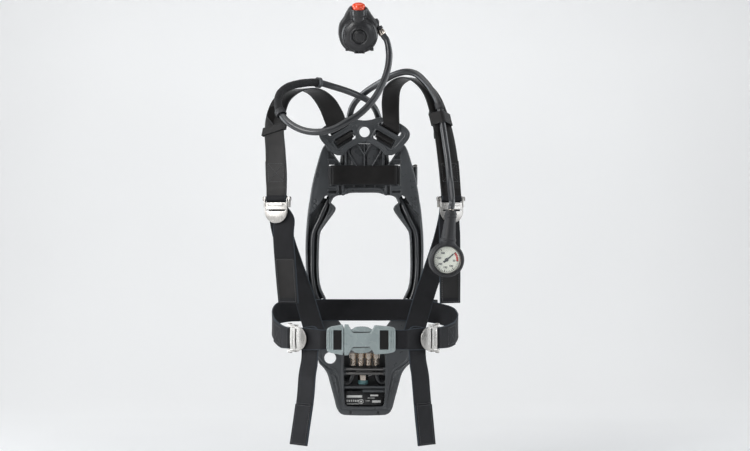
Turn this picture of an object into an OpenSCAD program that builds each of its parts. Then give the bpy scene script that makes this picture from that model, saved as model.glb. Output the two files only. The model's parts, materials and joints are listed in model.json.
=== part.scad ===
// Breathing apparatus: carrying frame, harness, pressure reducer, hoses, gauge and demand valve.
// Z is up, the wearer stands at -Y, and the origin is on the flat underside of the foot.

/* [Frame] */
// Thickness of the moulded web
web_t = 5; // [4:0.5:6]
// Thickness of the side walls
wall_t = 4; // [3:0.5:4.5]
// Depth of the lower shell that guards the reducer
shell_depth = 62; // [58:1:66]
// Radius of the hole at the left of the lower shell
lumbar_hole_r = 12; // [10:0.5:12]
// Radius of the hole in the middle of the yoke
yoke_hole_r = 10.5; // [9:0.5:11]

/* [Harness] */
// Width of all the webbing
webbing_w = 44; // [40:1:45]
// Thickness of the webbing
webbing_t = 2.2; // [1.8:0.1:2.4]
// Radius of the pins in the adjusters
pin_r = 3; // [2.5:0.1:3.2]
// Half the height of the belt buckle
buckle_half_h = 29; // [27:0.5:31]
// Thickness of the belt buckle
buckle_t = 17; // [16:0.5:20]

/* [Hoses] */
// Radius of both hoses
hose_r = 6; // [5:0.25:6.2]
// Corners of a hose's section
hose_sides = 12; // [8:2:16]

/* [Demand valve] */
// Radius of the front cover
cover_r = 36; // [34:0.5:37]
// Radius of the purge button
purge_r = 13; // [11:0.5:13.5]
// Radius of the reset button
reset_r = 11.4; // [10:0.2:11.6]
// How far the valve looks down, in degrees
valve_tilt = 20; // [0:1:25]

/* [Gauge] */
// Outer radius of the gauge's rubber boot
gauge_r = 33; // [31:0.5:34]
// Radius of the dial
dial_r = 24; // [22:0.5:25]

/* [Reducer] */
// Radius of the threaded spigot on the handwheel
spigot_r = 11.45; // [10:0.05:12]
// Radius of the handwheel
handwheel_r = 27; // [22:0.5:29]

/* [Hidden] */
$fn = 48;
eps = 0.01;

plastic = [0.20, 0.20, 0.21];
rubber = [0.11, 0.11, 0.12];
webbing = [0.09, 0.09, 0.10];
steel = [0.80, 0.79, 0.76];
nickel = [0.78, 0.72, 0.66];
buckle_grey = [0.45, 0.50, 0.52];

// Heights that several pieces share
strap_z = 494;
belt_z = 177;
connector_z = 102;
yoke_back_y = -4;
yoke_t = 5;

// ---------------------------------------------------------------- helpers

function unit(v) = v / norm(v);

// Cuts the corners of a closed outline once
function rounded(p) = [
  for (i = [0:len(p) - 1])
    let (a = p[i], b = p[(i + 1) % len(p)])
    each [0.78 * a + 0.22 * b, 0.22 * a + 0.78 * b]
];

// Adds the mirror image of a half outline that starts and ends on x = 0
function mirrored(p) = concat(p, [for (i = [len(p) - 2:-1:1]) [-p[i][0], p[i][1]]]);

// Smooth curve through the control rows p; a row may hold any number of values
function curve_at(p, u) =
  let (
    i = min(floor(u), len(p) - 2),
    f = u - i,
    a = p[max(i - 1, 0)],
    b = p[i],
    c = p[i + 1],
    d = p[min(i + 2, len(p) - 1)]
  )
  0.5 * (2 * b + (c - a) * f + (2 * a - 5 * b + 4 * c - d) * f * f + (3 * b - a - 3 * c + d) * f * f * f);

function curve(p, per) =
  let (n = (len(p) - 1) * per)
  [for (k = [0:n]) curve_at(p, k / per)];

function xyz(row) = [row[0], row[1], row[2]];

function tangents(p) = [
  for (i = [0:len(p) - 1]) unit(p[min(i + 1, len(p) - 1)] - p[max(i - 1, 0)])
];

// Sections of a tube that doesn't twist: one ring of points for each point of p
function tube_rings(p, r, sides) =
  let (t = tangents(p), first = unit(cross(t[0], [0.31, 0.95, 0.11])))
  [
    for (
      i = 0, n = first;
      i < len(p);
      i = i + 1, n = i < len(p) ? unit(n - (n * t[i]) * t[i]) : n
    )
      let (b = cross(t[i], n))
      [for (k = [0:sides - 1]) p[i] + r * (cos(360 * k / sides) * n + sin(360 * k / sides) * b)]
  ];

// Closed solid through rings that all have the same number of points
module skin(rings) {
  m = len(rings[0]);
  last = (len(rings) - 1) * m;
  sides = [
    for (i = [0:len(rings) - 2], k = [0:m - 1])
      let (a = i * m + k, b = i * m + (k + 1) % m)
      each [[a, b + m, b], [a, a + m, b + m]]
  ];
  start = [for (k = [1:m - 2]) [0, k, k + 1]];
  end = [for (k = [1:m - 2]) [last, last + k + 1, last + k]];
  polyhedron([for (r = rings) each r], concat(start, sides, end), convexity = 10);
}

module tube(p, r, sides = hose_sides) {
  skin(tube_rings(p, r, sides));
}

// Webbing along control rows [x, y, z, sx, sy, sz], where s runs from the middle to one edge
module ribbon(rows, t = webbing_t, per = 4) {
  c = curve(rows, per);
  p = [for (r = c) xyz(r)];
  tan = tangents(p);
  skin([
    for (i = [0:len(c) - 1])
      let (s = [c[i][3], c[i][4], c[i][5]], n = unit(cross(tan[i], s)) * t / 2)
      [p[i] - s - n, p[i] + s - n, p[i] + s + n, p[i] - s + n]
  ]);
}

// Stands a drawing of the front view up, from depth y0 back to depth y1
module front_extrude(y0, y1) {
  translate([0, y1, 0]) rotate([90, 0, 0]) linear_extrude(y1 - y0, convexity = 10) children();
}

// Hollow or solid round bar along +Y
module bar_y(r, y0, y1, hole = 0) {
  translate([0, y0, 0]) rotate([-90, 0, 0]) difference() {
    cylinder(r = r, h = y1 - y0);
    if (hole > 0) translate([0, 0, -1]) cylinder(r = hole, h = y1 - y0 + 2);
  }
}

module both_sides() {
  children();
  mirror([1, 0, 0]) children();
}

// ---------------------------------------------------------------- frame

// Wearer-side and rear faces of the frame, as [height, depth] pairs
front_line = [[-1, 6], [110, 0], [215, -3], [330, 8], [450, 8], [520, 4.9], [556, 2], [620, 2]];
back_line = [[-1, shell_depth], [120, shell_depth], [190, 42], [240, 34], [450, 34], [560, 14], [620, 9]];

frame_half = [
  [0, 12], [54, 12], [62, 37], [70, 66], [75, 86], [83, 99], [95, 110], [97, 142], [104, 184],
  [113, 235], [119, 290], [120.5, 340], [119.5, 374], [116, 416], [108, 472], [99, 508],
  [89, 542], [82, 556], [60, 566], [36, 574], [32, 598], [0, 598]
];
window_half = [
  [0, 458], [30, 458], [40, 454], [58, 452], [67, 440], [67, 430], [60, 424], [64, 412],
  [92, 384], [95, 372], [95, 272], [79, 238], [56, 201], [48, 189], [38, 177], [0, 175]
];
reducer_window = [[-41, 26], [-36, 19], [36, 19], [41, 26], [43, 120], [38, 132], [-38, 132], [-43, 120]];

module frame_2d() { polygon(rounded(mirrored(frame_half))); }

module window_2d() { polygon(rounded(mirrored(window_half))); }

// Keeps the part of a front-view drawing that lies between two depths behind the wearer's side
module frame_layer(from, to) {
  intersection() {
    front_extrude(-12, shell_depth + 4) children();
    rotate([90, 0, 90]) translate([0, 0, -130]) linear_extrude(260) polygon(concat(
      [for (p = front_line) [p[1] + from, p[0]]],
      [for (i = [len(front_line) - 1:-1:0]) [front_line[i][1] + to, front_line[i][0]]]
    ));
  }
}

// Keeps the part of a front-view drawing that fills the whole depth of the frame
module frame_full() {
  intersection() {
    front_extrude(-12, shell_depth + 4) children();
    rotate([90, 0, 90]) translate([0, 0, -130]) linear_extrude(260) polygon(concat(
      [for (p = front_line) [p[1], p[0]]],
      [for (i = [len(back_line) - 1:-1:0]) [back_line[i][1], back_line[i][0]]]
    ));
  }
}

// Band of the front view between two heights
module band_2d(z0, z1) { translate([-160, z0]) square([320, z1 - z0]); }

// Hollow beside each rail that holds a hose
module channel_2d() {
  intersection() {
    difference() {
      offset(delta = -wall_t) frame_2d();
      offset(delta = wall_t) window_2d();
    }
    both_sides() polygon([[60, 240], [130, 240], [130, 396], [100, 424], [82, 450], [74, 450], [60, 428]]);
  }
}

module yoke_slots_2d() {
  both_sides() translate([18.5, 556]) square([6, 60]);
  translate([-13, 556]) square([26, 60]);
}

module back_frame() {
  color(plastic) difference() {
    union() {
      frame_layer(0, web_t) difference() {
        frame_2d();
        window_2d();
      }
      frame_full() intersection() {
        difference() {
          frame_2d();
          offset(delta = -wall_t) frame_2d();
        }
        band_2d(10, 556);
      }
      frame_full() intersection() {
        difference() {
          frame_2d();
          window_2d();
        }
        band_2d(240, 436);
      }
      front_extrude(8, 13) translate([-44, 52]) square([88, 9]);
      translate([-70.5, 0, 119]) bar_y(lumbar_hole_r + 3.5, 2, 12);
      // Closed back behind the reducer, open round its body
      front_extrude(50, 54) intersection() {
        frame_2d();
        union() {
          band_2d(10, 98);
          translate([-56, 90]) square([112, 50]);
        }
      }
    }
    translate([0, 0, connector_z]) bar_y(26.5, 49, 55);
    frame_layer(-10, 17) channel_2d();
    front_extrude(-13, 70) intersection() {
      channel_2d();
      union() {
        band_2d(239, 262);
        band_2d(410, 460);
      }
    }
    difference() {
      front_extrude(-13, 40) polygon(reducer_window);
      front_extrude(8, 13) translate([-44, 52]) square([88, 9]);
    }
    translate([-70.5, 0, 119]) bar_y(lumbar_hole_r, -13, 40);
    front_extrude(-13, 40) both_sides() translate([62, strap_z - 22]) square([11.5, 44]);
    front_extrude(-13, 40) both_sides() polygon([
      [42, 518], [54, 518], [54, 530], [49, 537], [42, 537]
    ]);
    front_extrude(-13, 40) yoke_slots_2d();
    both_sides() for (z = [430, 440]) translate([102, 0, z]) bar_y(2.1, -1, 24);
  }
}

module spine_ribs() {
  color(plastic) difference() {
    union() {
      front_extrude(-1, 4.5) {
        translate([-2, 517]) square([4, 38]);
        both_sides() {
          polygon([[0, 531], [4, 531], [19, 555], [14, 555]]);
          polygon([[33, 517], [37, 517], [37, 555], [33, 555]]);
          polygon([[14, 517], [19, 517], [33, 548], [33, 555]]);
        }
      }
      front_extrude(1.5, 4.5) translate([-36, 517]) square([72, 38]);
    }
    frame_layer(-0.05, 30) square([400, 1400], center = true);
  }
}

module foot_bumper() {
  color(rubber) difference() {
    front_extrude(-3, shell_depth) polygon([
      [-55, 11.95], [-49, 2], [-45, 0], [45, 0], [49, 2], [55, 11.95]
    ]);
    both_sides() translate([28, 0, 7]) bar_y(3, -4, 6);
  }
}

// Curved plates behind the waist belt, one at each hip
module hip_supports() {
  color(rubber) both_sides() difference() {
    translate([0, 0, 197]) linear_extrude(42) polygon([
      [60, 8.5], [112, 9.5], [134, 6], [147, 0], [150, -8], [147, -9], [140, -4], [128, 1], [110, 4], [60, 5]
    ]);
    frame_layer(-0.3, 80) frame_2d();
  }
}

module frame_screws() {
  color(steel) both_sides() for (z = [430, 440]) translate([102, 0, z]) {
    bar_y(2, 7.8, 22);
    bar_y(3.6, 6.2, 7.9);
  }
}

// ---------------------------------------------------------------- yoke

yoke_half = [
  [0, 605], [16, 607], [30, 613], [54, 608], [72, 600], [87, 590], [94, 579], [91, 567],
  [80, 553], [66, 537], [54, 537], [38, 546], [19, 556], [0, 561]
];

slot_lean = 30;
upper_slot = [53, 588];
lower_slot = [39.5, 567];

module yoke_slots() {
  both_sides() {
    translate(upper_slot) rotate(-slot_lean) square([47, 8], center = true);
    translate(lower_slot) rotate(-slot_lean) square([44, 18], center = true);
  }
}

module yoke_plate() {
  color(plastic) difference() {
    union() {
      front_extrude(yoke_back_y - yoke_t + 1, yoke_back_y) polygon(rounded(mirrored(yoke_half)));
      front_extrude(yoke_back_y - yoke_t, yoke_back_y - 1) offset(delta = -5)
        polygon(rounded(mirrored(yoke_half)));
    }
    front_extrude(-20, 10) yoke_slots();
    translate([0, 0, 581.5]) bar_y(yoke_hole_r, -20, 10);
  }
}

// Two T-shaped lugs that guide the yoke in the frame's slots
module yoke_guides() {
  color(plastic) both_sides() {
    translate([19.2, yoke_back_y + eps, 577]) cube([4.6, 11, 13]);
    translate([15, 7.4, 577]) cube([13, 3, 13]);
  }
}

// ---------------------------------------------------------------- reducer

fitting_x = [-24, -8, 8, 24];

module reducer_body() {
  color(nickel) {
    translate([0, 0, connector_z]) bar_y(25, 36, 60);
    translate([-34, 16, 128]) cube([68, 30, 20]);
    translate([-16, 36, 116]) cube([32, 10, 14]);
    translate([-10, 18.5, 88]) cube([14, 20, 10]);
  }
}

module reducer_cap() {
  color(plastic) translate([0, 0, connector_z]) bar_y(22, 60 + eps, 66, 5.6);
}

module mounting_rods() {
  color(steel) for (z = [95.3, 86.5]) translate([-70, 14, z]) rotate([0, 90, 0]) cylinder(r = 3.2, h = 140);
}

module rod_collars() {
  color(plastic) both_sides() for (z = [95.3, 86.5])
    translate([38, 14, z]) rotate([0, 90, 0]) difference() {
      cylinder(r = 4.2, h = 18);
      translate([0, 0, -1]) cylinder(r = 3.3, h = 20);
    }
}

module hose_fittings() {
  color(nickel) for (x = fitting_x) translate([x, 27, 0]) {
    translate([0, 0, 116]) cylinder(r = 7.6, h = 11.9, $fn = 6);
    translate([0, 0, 101]) cylinder(r = 6.6, h = 15.5);
  }
}

module relief_valve() {
  color(nickel) translate([-3, 26, 0]) {
    translate([0, 0, 71.5]) cylinder(r = 10.8, h = 11.3, $fn = 6);
    translate([0, 0, 82]) cylinder(r = 6, h = 5.9);
  }
}

module relief_cap() {
  color([0.36, 0.55, 0.56]) translate([-3, 26, 63]) cylinder(r = 10.3, h = 8.4);
}

module label_plate() {
  color([0.05, 0.05, 0.05]) front_extrude(14, 16.5) polygon([[-40, 20], [40, 20], [42, 50], [-42, 50]]);
}

module connector_stem() {
  color(steel) translate([0, 0, connector_z]) {
    bar_y(5, 60 + 2 * eps, 103);
    bar_y(8, 102, 105);
  }
}

module handwheel() {
  color(rubber) translate([0, 0, connector_z]) difference() {
    union() {
      bar_y(handwheel_r - 1.5, 67, 86);
      for (a = [0:30:330]) rotate([0, a, 0]) translate([handwheel_r - 4, 0, 0]) bar_y(4, 67.5, 85.5);
      bar_y(spigot_r, 85, 100);
    }
    bar_y(5.1, 60, 110);
  }
}

module connector_seal() {
  color(rubber) translate([0, 100.9, connector_z]) rotate([-90, 0, 0])
    rotate_extrude() translate([6.2, 0]) circle(r = 0.85, $fn = 16);
}

// ---------------------------------------------------------------- cylinder strap

strap_loop = [
  [0, 1.2], [30, 1.2], [56, 1.2], [66, 3.2], [70, 12], [70, 26], [72, 36], [82, 44], [94, 49], [98, 57],
  [98, 66], [96, 76], [86, 84], [60, 89], [0, 92]
];

module cylinder_strap() {
  loop = concat(strap_loop, [for (i = [len(strap_loop) - 2:-1:1]) [-strap_loop[i][0], strap_loop[i][1]]]);
  color(webbing) translate([0, 0, strap_z - 20.3]) linear_extrude(40.6, convexity = 10) difference() {
    polygon(rounded(loop));
    offset(delta = -2) polygon(rounded(loop));
  }
}

module strap_buckle_frame() {
  color(steel) translate([0, 0, strap_z]) {
    translate([99.4, 50, -22]) cube([2, 30, 44]);
    for (s = [-1, 1]) translate([99.4, 50, s * 20.6 - 1.4]) difference() {
      cube([10, 12, 2.8]);
      translate([6.4, 6, -1]) cylinder(r = 2.6, h = 6);
    }
  }
}

module strap_buckle_pin() {
  color(steel) translate([105.8, 56, strap_z]) {
    translate([0, 0, -24]) cylinder(r = 2.5, h = 48);
    for (s = [-1, 1]) translate([0, 0, s * 23 - 0.9]) cylinder(r = 3.8, h = 1.8);
  }
}

module strap_cam_lever() {
  color(plastic) translate([105.8, 56, strap_z - 18.5]) difference() {
    union() {
      cylinder(r = 4.2, h = 37);
      translate([-0.6, 0, 0]) cube([3.6, 30, 37]);
      translate([-0.6, 27, 6]) cube([4.4, 8, 25]);
    }
    translate([0, 0, -1]) cylinder(r = 2.6, h = 39);
  }
}

// ---------------------------------------------------------------- adjusters

shoulder_x = 168;
shoulder_y = -182;
shoulder_pin_z = 442;
shoulder_turn = 15;
waist_x = 140;
waist_y = -232;
waist_turn = 40;
bar_drop = 13;

// Places an adjuster: its pin runs along local X and its lever hangs towards local -Z, facing -Y
module at_shoulder(side) {
  translate([side * shoulder_x, shoulder_y, shoulder_pin_z]) rotate([0, 0, side * shoulder_turn]) children();
}

module at_waist(side) {
  translate([side * waist_x, waist_y, belt_z]) rotate([0, 0, side * waist_turn])
    rotate([0, side * 90, 0]) children();
}

module adjuster_frame() {
  for (s = [-1, 1]) difference() {
    translate([s * 24.6 - 1, -3.5, -bar_drop - 3.4]) cube([2, 11, bar_drop + 7.4]);
    translate([s * 24.6 - 2, 0, 0]) rotate([0, 90, 0]) cylinder(r = pin_r + 0.1, h = 4);
  }
  translate([-24.6, 4, -bar_drop]) rotate([0, 90, 0]) cylinder(r = 2.4, h = 49.2);
}

module adjuster_pin() {
  translate([-26.8, 0, 0]) rotate([0, 90, 0]) cylinder(r = pin_r, h = 53.6);
  for (s = [-1, 1]) translate([s * 27.2 - 1, 0, 0]) rotate([0, 90, 0]) cylinder(r = 4.4, h = 2);
}

// Pressed plate with two curled ears round the pin, a slot and a half-round thumb tab
module adjuster_lever() {
  difference() {
    union() {
      translate([0, -6.2, 0]) rotate([90, 0, 0]) linear_extrude(1.8) {
        translate([-23, -21]) square([46, 14]);
        intersection() {
          translate([0, -24]) circle(r = 23);
          translate([-23, -50]) square([46, 27.5]);
        }
        translate([-23, -23.5]) square([4, 6]);
        translate([19, -23.5]) square([4, 6]);
      }
      for (s = [-1, 1]) translate([s * 22.2 - 1.1, 0, 0]) {
        rotate([0, 90, 0]) cylinder(r = 5.2, h = 2.2);
        translate([0, -8, -16]) cube([2.2, 5, 12]);
        translate([0, -8, -10]) cube([2.2, 7, 9]);
      }
    }
    translate([-30, 0, 0]) rotate([0, 90, 0]) cylinder(r = pin_r + 0.1, h = 60);
  }
}

module adjuster_frames() {
  color(steel) for (s = [-1, 1]) {
    at_shoulder(s) adjuster_frame();
    at_waist(s) adjuster_frame();
  }
}

module adjuster_pins() {
  color(steel) for (s = [-1, 1]) {
    at_shoulder(s) adjuster_pin();
    at_waist(s) adjuster_pin();
  }
}

module shoulder_lever_left() { color(steel) at_shoulder(-1) adjuster_lever(); }

module shoulder_lever_right() { color(steel) at_shoulder(1) adjuster_lever(); }

module waist_lever_left() { color(steel) at_waist(-1) adjuster_lever(); }

module waist_lever_right() { color(steel) at_waist(1) adjuster_lever(); }

// Sewn eye of webbing round a bar that runs along local X
module eye(r, w = 40) {
  translate([-w / 2, 0, 0]) rotate([0, 90, 0]) difference() {
    cylinder(r = r + 2.3, h = w);
    translate([0, 0, -1]) cylinder(r = r, h = w + 2);
  }
}

// ---------------------------------------------------------------- harness webbing

half_w = webbing_w / 2;

// Vector from the middle of the webbing to its edge, for a strap turned by a about Z
function edge(a) = [half_w * cos(a), half_w * sin(a), 0];
function row(p, s) = [p[0], p[1], p[2], s[0], s[1], s[2]];

// Rows that take a shoulder strap from the yoke's lower slot, behind the bar and out of the upper slot
slot_weave = [
  [-23.7, -7.5], [-21.2, -4.4], [-16.7, -2.2], [-4.7, -2.2], [-0.9, -4.2], [0.1, -8.8], [4.1, -11.6]
];
function slot_rows(side) = [
  for (q = slot_weave)
    row([side * (upper_slot[0] + sin(slot_lean) * q[0]), q[1], upper_slot[1] + cos(slot_lean) * q[0]],
      [20 * cos(slot_lean), 0, -side * 20 * sin(slot_lean)])
];

module shoulder_strap_left() {
  eye_s = 20 * [cos(shoulder_turn), -sin(shoulder_turn), 0];
  color(webbing) {
    ribbon([
      for (r = slot_rows(-1)) r,
      row([-61, -16, 608], [18.5, -2, 11]),
      row([-76, -28, 638], [17, -9, 8]),
      row([-97, -48, 659], [15, -16, 3]),
      row([-120, -68, 664], [14, -17, 0]),
      row([-143, -90, 657], [15, -15.5, -3]),
      row([-163, -112, 638], [17, -13, -3]),
      row([-173, -130, 608], [19, -10.5, -1]),
      row([-175.5, -145, 575], [19.5, -9, 0]),
      row([-172.5, -158, 538], [20, -8, 0]),
      row([-169.5, -170, 490], eye_s * 1.07),
      row([-168.3, -177.4, 449], eye_s)
    ]);
    at_shoulder(-1) eye(pin_r + 0.15);
  }
}

module shoulder_strap_right() {
  eye_s = 20 * [cos(shoulder_turn), sin(shoulder_turn), 0];
  color(webbing) {
    ribbon([
      for (r = slot_rows(1)) r,
      row([54, -15, 606], [17.5, 0, -7.5]),
      row([53, -20, 640], [18, 4, -2]),
      row([57, -32, 668], [17, 11, 0]),
      row([73, -52, 683], [15, 15, 0]),
      row([94, -74, 685], [14.5, 16, 0]),
      row([115, -97, 672], [15, 15.5, 0]),
      row([132, -118, 650], [16, 14, 0]),
      row([144, -137, 618], [17.5, 12, 0]),
      row([155, -154, 572], [19, 9.5, 0]),
      row([163, -169, 515], [20, 8, 0]),
      row([168.3, -177.4, 449], eye_s)
    ]);
    at_shoulder(1) eye(pin_r + 0.15);
  }
}

// Pull strap from the lower shell to the adjuster, with its free end hanging in front
module lower_strap(side, tail_x, tail_tip_x) {
  turn = side * shoulder_turn;
  c = cos(turn);
  s = sin(turn);
  back = [side * shoulder_x, shoulder_y, shoulder_pin_z - bar_drop] + [-s * 7.7, c * 7.7, 0];
  front = [side * shoulder_x, shoulder_y, shoulder_pin_z - bar_drop] + [-s * 0.3, c * 0.3, 0];
  ribbon([
    row(back, edge(turn) * 0.9),
    row([side * 164, -169, 405], edge(turn) * 0.95),
    row([side * 155, -156, 362], edge(turn)),
    row([side * 139, -130, 312], edge(side * 18)),
    row([side * 122, -94, 258], edge(side * 16)),
    row([side * 108, -52, 204], edge(side * 10)),
    row([side * 99, -16, 166], edge(0)),
    row([side * 96, -5, 150], edge(0))
  ]);
  ribbon([
    row(front, edge(turn) * 0.9),
    row([tail_x - side * 1, -184, 405], edge(turn) * 0.95),
    row([tail_x, -188, 370], edge(turn) * 0.97),
    row([(tail_x + tail_tip_x) / 2, -190, 300], edge(side * 20)),
    row([tail_tip_x, -192, 241], edge(side * 24))
  ]);
  at_shoulder(side) translate([0, 4, -bar_drop]) eye(2.5);
}

module lower_strap_left() { color(webbing) lower_strap(-1, -155, -145); }

module lower_strap_right() { color(webbing) lower_strap(1, 165.5, 166); }

module waist_belt() {
  up = [0, 0, half_w];
  color(webbing) {
    ribbon([
      row([-waist_x - 4.6, waist_y + 3.9, belt_z], up * 0.92),
      row([-158, -206, 179], up),
      row([-173, -170, 189], up),
      row([-181, -115, 200], up),
      row([-177, -58, 212], up),
      row([-158, -22, 216], up),
      row([-128, -11.5, 217], up),
      row([-80, -8, 218], up),
      row([-30, -7.5, 218], up),
      row([30, -7.5, 218], up),
      row([80, -8, 218], up),
      row([128, -11.5, 215], up),
      row([160, -22, 209], up),
      row([180, -58, 203], up),
      row([185, -115, 194], up),
      row([177, -170, 184], up),
      row([162, -206, 179], up),
      row([waist_x + 4.6, waist_y + 3.9, belt_z], up * 0.92)
    ], per = 3);
    at_waist(-1) eye(pin_r + 0.15);
    at_waist(1) eye(pin_r + 0.15);
  }
}

buckle_y = -280;
male_x0 = -69;
male_x1 = -36.4;
female_x1 = 60;

// Point given along an adjuster's lever (v) and away from the wearer (w), at the belt's height
function waist_point(side, v, w) = [
  side * (waist_x - v * cos(waist_turn) + w * sin(waist_turn)),
  waist_y - v * sin(waist_turn) - w * cos(waist_turn),
  belt_z
];

module front_belt(side, end_x) {
  up = [0, 0, half_w];
  ribbon([
    row(waist_point(side, bar_drop, -0.3), up * 0.9),
    row(waist_point(side, 26, 1.5), up * 0.95),
    row(waist_point(side, 44, -1), up * 0.95),
    row([side * 87, -273, belt_z], up * 0.9),
    row([side * 77, -279, belt_z], up * 0.84),
    row([end_x, buckle_y, belt_z], up * 0.84)
  ]);
  at_waist(side) translate([0, 4, -bar_drop]) eye(2.5);
}

module front_belt_left() { color(webbing) front_belt(-1, male_x0 + 9); }

module front_belt_right() { color(webbing) front_belt(1, female_x1 - 7); }

module belt_tail(side, tip_x) {
  v = [side * cos(waist_turn), sin(waist_turn), 0];
  top = waist_point(side, 42, -9);
  ribbon([
    row(top + v * 22, [0, 0, 19]),
    row(top, v * -20 + [0, 0, 20]),
    row(top - [0, 0, 40], v * -21),
    row([side * 107, -240, 106], v * -half_w),
    row([side * 111, -239, 58], v * -half_w),
    row([tip_x, -236, -26], v * -half_w)
  ], per = 4);
}

module belt_tail_left() { color(webbing) belt_tail(-1, -123); }

module belt_tail_right() { color(webbing) belt_tail(1, 119); }

// ---------------------------------------------------------------- belt buckle

prong_x = -42;
prong_z = 15;

module at_buckle() { translate([0, buckle_y, belt_z]) children(); }

module buckle_female() {
  h = buckle_half_h;
  color(buckle_grey) at_buckle() difference() {
    front_extrude(-buckle_t / 2, buckle_t / 2) polygon([
      [-36, -h], [-28, -h], [-16, -15], [11, -15], [21, -h + 2], [48, -h + 5], [female_x1 - 2, -h + 7],
      [female_x1, -h + 10], [female_x1, h - 10], [female_x1 - 2, h - 7], [48, h - 5], [21, h - 2],
      [11, 15], [-16, 15], [-28, h], [-36, h]
    ]);
    translate([-40, -6, -25]) cube([66, 12, 50]);
    translate([32, -20, -19]) cube([14.5, 40, 38]);
    translate([46, -4, -19]) cube([30, 8, 38]);
  }
}

module buckle_male() {
  h = buckle_half_h;
  color(buckle_grey) at_buckle() difference() {
    union() {
      front_extrude(-buckle_t / 2, buckle_t / 2) polygon([
        [male_x0, -h + 9], [male_x0 + 6, -h + 5], [male_x1, -h],
        [male_x1, h], [male_x0 + 6, h - 5], [male_x0, h - 9]
      ]);
      translate([male_x1 - 1, -4, -5]) cube([52, 8, 10]);
    }
    translate([-54.5, -20, -19]) cube([9, 40, 38]);
    translate([-80, -4, -19]) cube([26, 8, 38]);
    for (s = [-1, 1]) translate([prong_x, 0, s * prong_z]) {
      bar_y(3.3, -5.2, 5.2);
      translate([0, -5.2, -3.6]) cube([12, 10.4, 7.2]);
    }
  }
}

module prong(side) {
  at_buckle() translate([prong_x, 0, side * prong_z]) {
    bar_y(3, -5, 5);
    front_extrude(-5, 5) scale([1, side]) {
      polygon([[0, -2], [26, 0], [56, -1], [62, 1], [62, 4], [50, 9.4], [28, 9.4], [20, 4], [0, 2]]);
    }
  }
}

module prong_upper() { color(buckle_grey) prong(1); }

module prong_lower() { color(buckle_grey) prong(-1); }

// ---------------------------------------------------------------- demand valve

valve_centre = [-8.6, -165, 761];
swivel_pos = [36.9, -158, 762];
swivel_dir = [-0.56, 0, 0.828];

module at_valve() { translate(valve_centre) rotate([valve_tilt, 0, 0]) children(); }

// Local Z runs along the hose's end, into the valve
module at_swivel() {
  translate(swivel_pos) rotate([0, atan2(swivel_dir[0], swivel_dir[2]), 0]) children();
}

housing_outline = [
  [13, 56], [21, 42], [31, 28], [35, 20], [32, 12], [32, 0], [29, -20], [19, -33], [0, -38], [-22, -32],
  [-36, -18], [-42, 2], [-40, 21], [-31, 33], [-27, 42], [-20, 53], [-16, 56]
];

module valve_housing() {
  color(plastic) difference() {
    union() {
      at_valve() {
        front_extrude(-3, 14) polygon(rounded(housing_outline));
        bar_y(34, 13, 22);
        bar_y(26, 21, 27);
        bar_y(19, 26, 42);
        translate([-1.5, -1, 30]) cylinder(r = 13, h = 25);
      }
      at_swivel() translate([0, 0, 17]) cylinder(r = 9, h = 16);
    }
    at_valve() {
      bar_y(31, -4, 10);
      bar_y(12, 9, 43);
      translate([-1.5, -1, 42]) cylinder(r = reset_r + 0.3, h = 14);
      translate([0, 29.5, 0]) rotate([-90, 0, 0]) rotate_extrude()
        translate([17.4, 0]) square([4, 3.2], center = true);
    }
    at_swivel() {
      translate([0, 0, -6]) cylinder(r = 8.7, h = 23);
      translate([0, 0, 16]) cylinder(r = 4.7, h = 8);
    }
  }
}

module valve_cover() {
  r = cover_r;
  color(plastic) at_valve() rotate([90, 0, 0]) difference() {
    rotate_extrude() polygon([
      [purge_r + 0.8, 8], [purge_r + 0.8, 16.5], [17, 17], [24, 15.5], [30, 12.5], [34, 8.5],
      [r, 4], [r, 3.1],
      [32, 3.1], [30, 8]
    ]);
    for (a = [-100, -80]) rotate(a) translate([30, -3.6, 0]) cube([2.5, 7.2, 30]);
    translate([-1.5, 29.5, 1]) rotate([-90, 0, 0]) cylinder(r = 13.3, h = 30);
  }
}

module valve_diaphragm() {
  color(rubber) at_valve() rotate([90, 0, 0]) rotate_extrude() polygon([
    [0, 0], [24, 0], [26, 1.4], [28, 0], [30.5, 0], [30.5, 1], [28, 1.2], [26, 2.6], [24, 1.2], [0, 1.2]
  ]);
}

module purge_button() {
  color(plastic) at_valve() rotate([90, 0, 0]) rotate_extrude() polygon([
    [0, 12], [purge_r, 12], [purge_r, 16.8], [purge_r - 1.2, 17.8], [0, 18.4]
  ]);
}

module reset_button() {
  color([0.95, 0.25, 0.06]) at_valve() translate([-1.5, -1, 0]) rotate_extrude() polygon([
    [0, 48], [reset_r, 48], [reset_r, 56.5], [reset_r - 1.6, 59.5], [reset_r - 5, 62], [0, 63.5]
  ]);
}

module swivel_nut() {
  color(rubber) at_swivel() translate([0, 0, 11]) difference() {
    cylinder(r = 8, h = 5.9);
    translate([0, 0, -1]) cylinder(r = 4.7, h = 8);
  }
}

module plug_seal() {
  color(rubber) at_valve() translate([0, 29.5, 0]) rotate([-90, 0, 0])
    rotate_extrude() translate([17.1, 0]) circle(r = 1.5, $fn = 16);
}

// ---------------------------------------------------------------- gauge

gauge_centre = [156.5, -236, 325.5];
gauge_lean = 5.7;
gauge_turn = 8;
boot_top = 95;

module at_gauge() {
  translate(gauge_centre) rotate([0, gauge_lean, 0]) rotate([0, 0, gauge_turn]) children();
}

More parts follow.
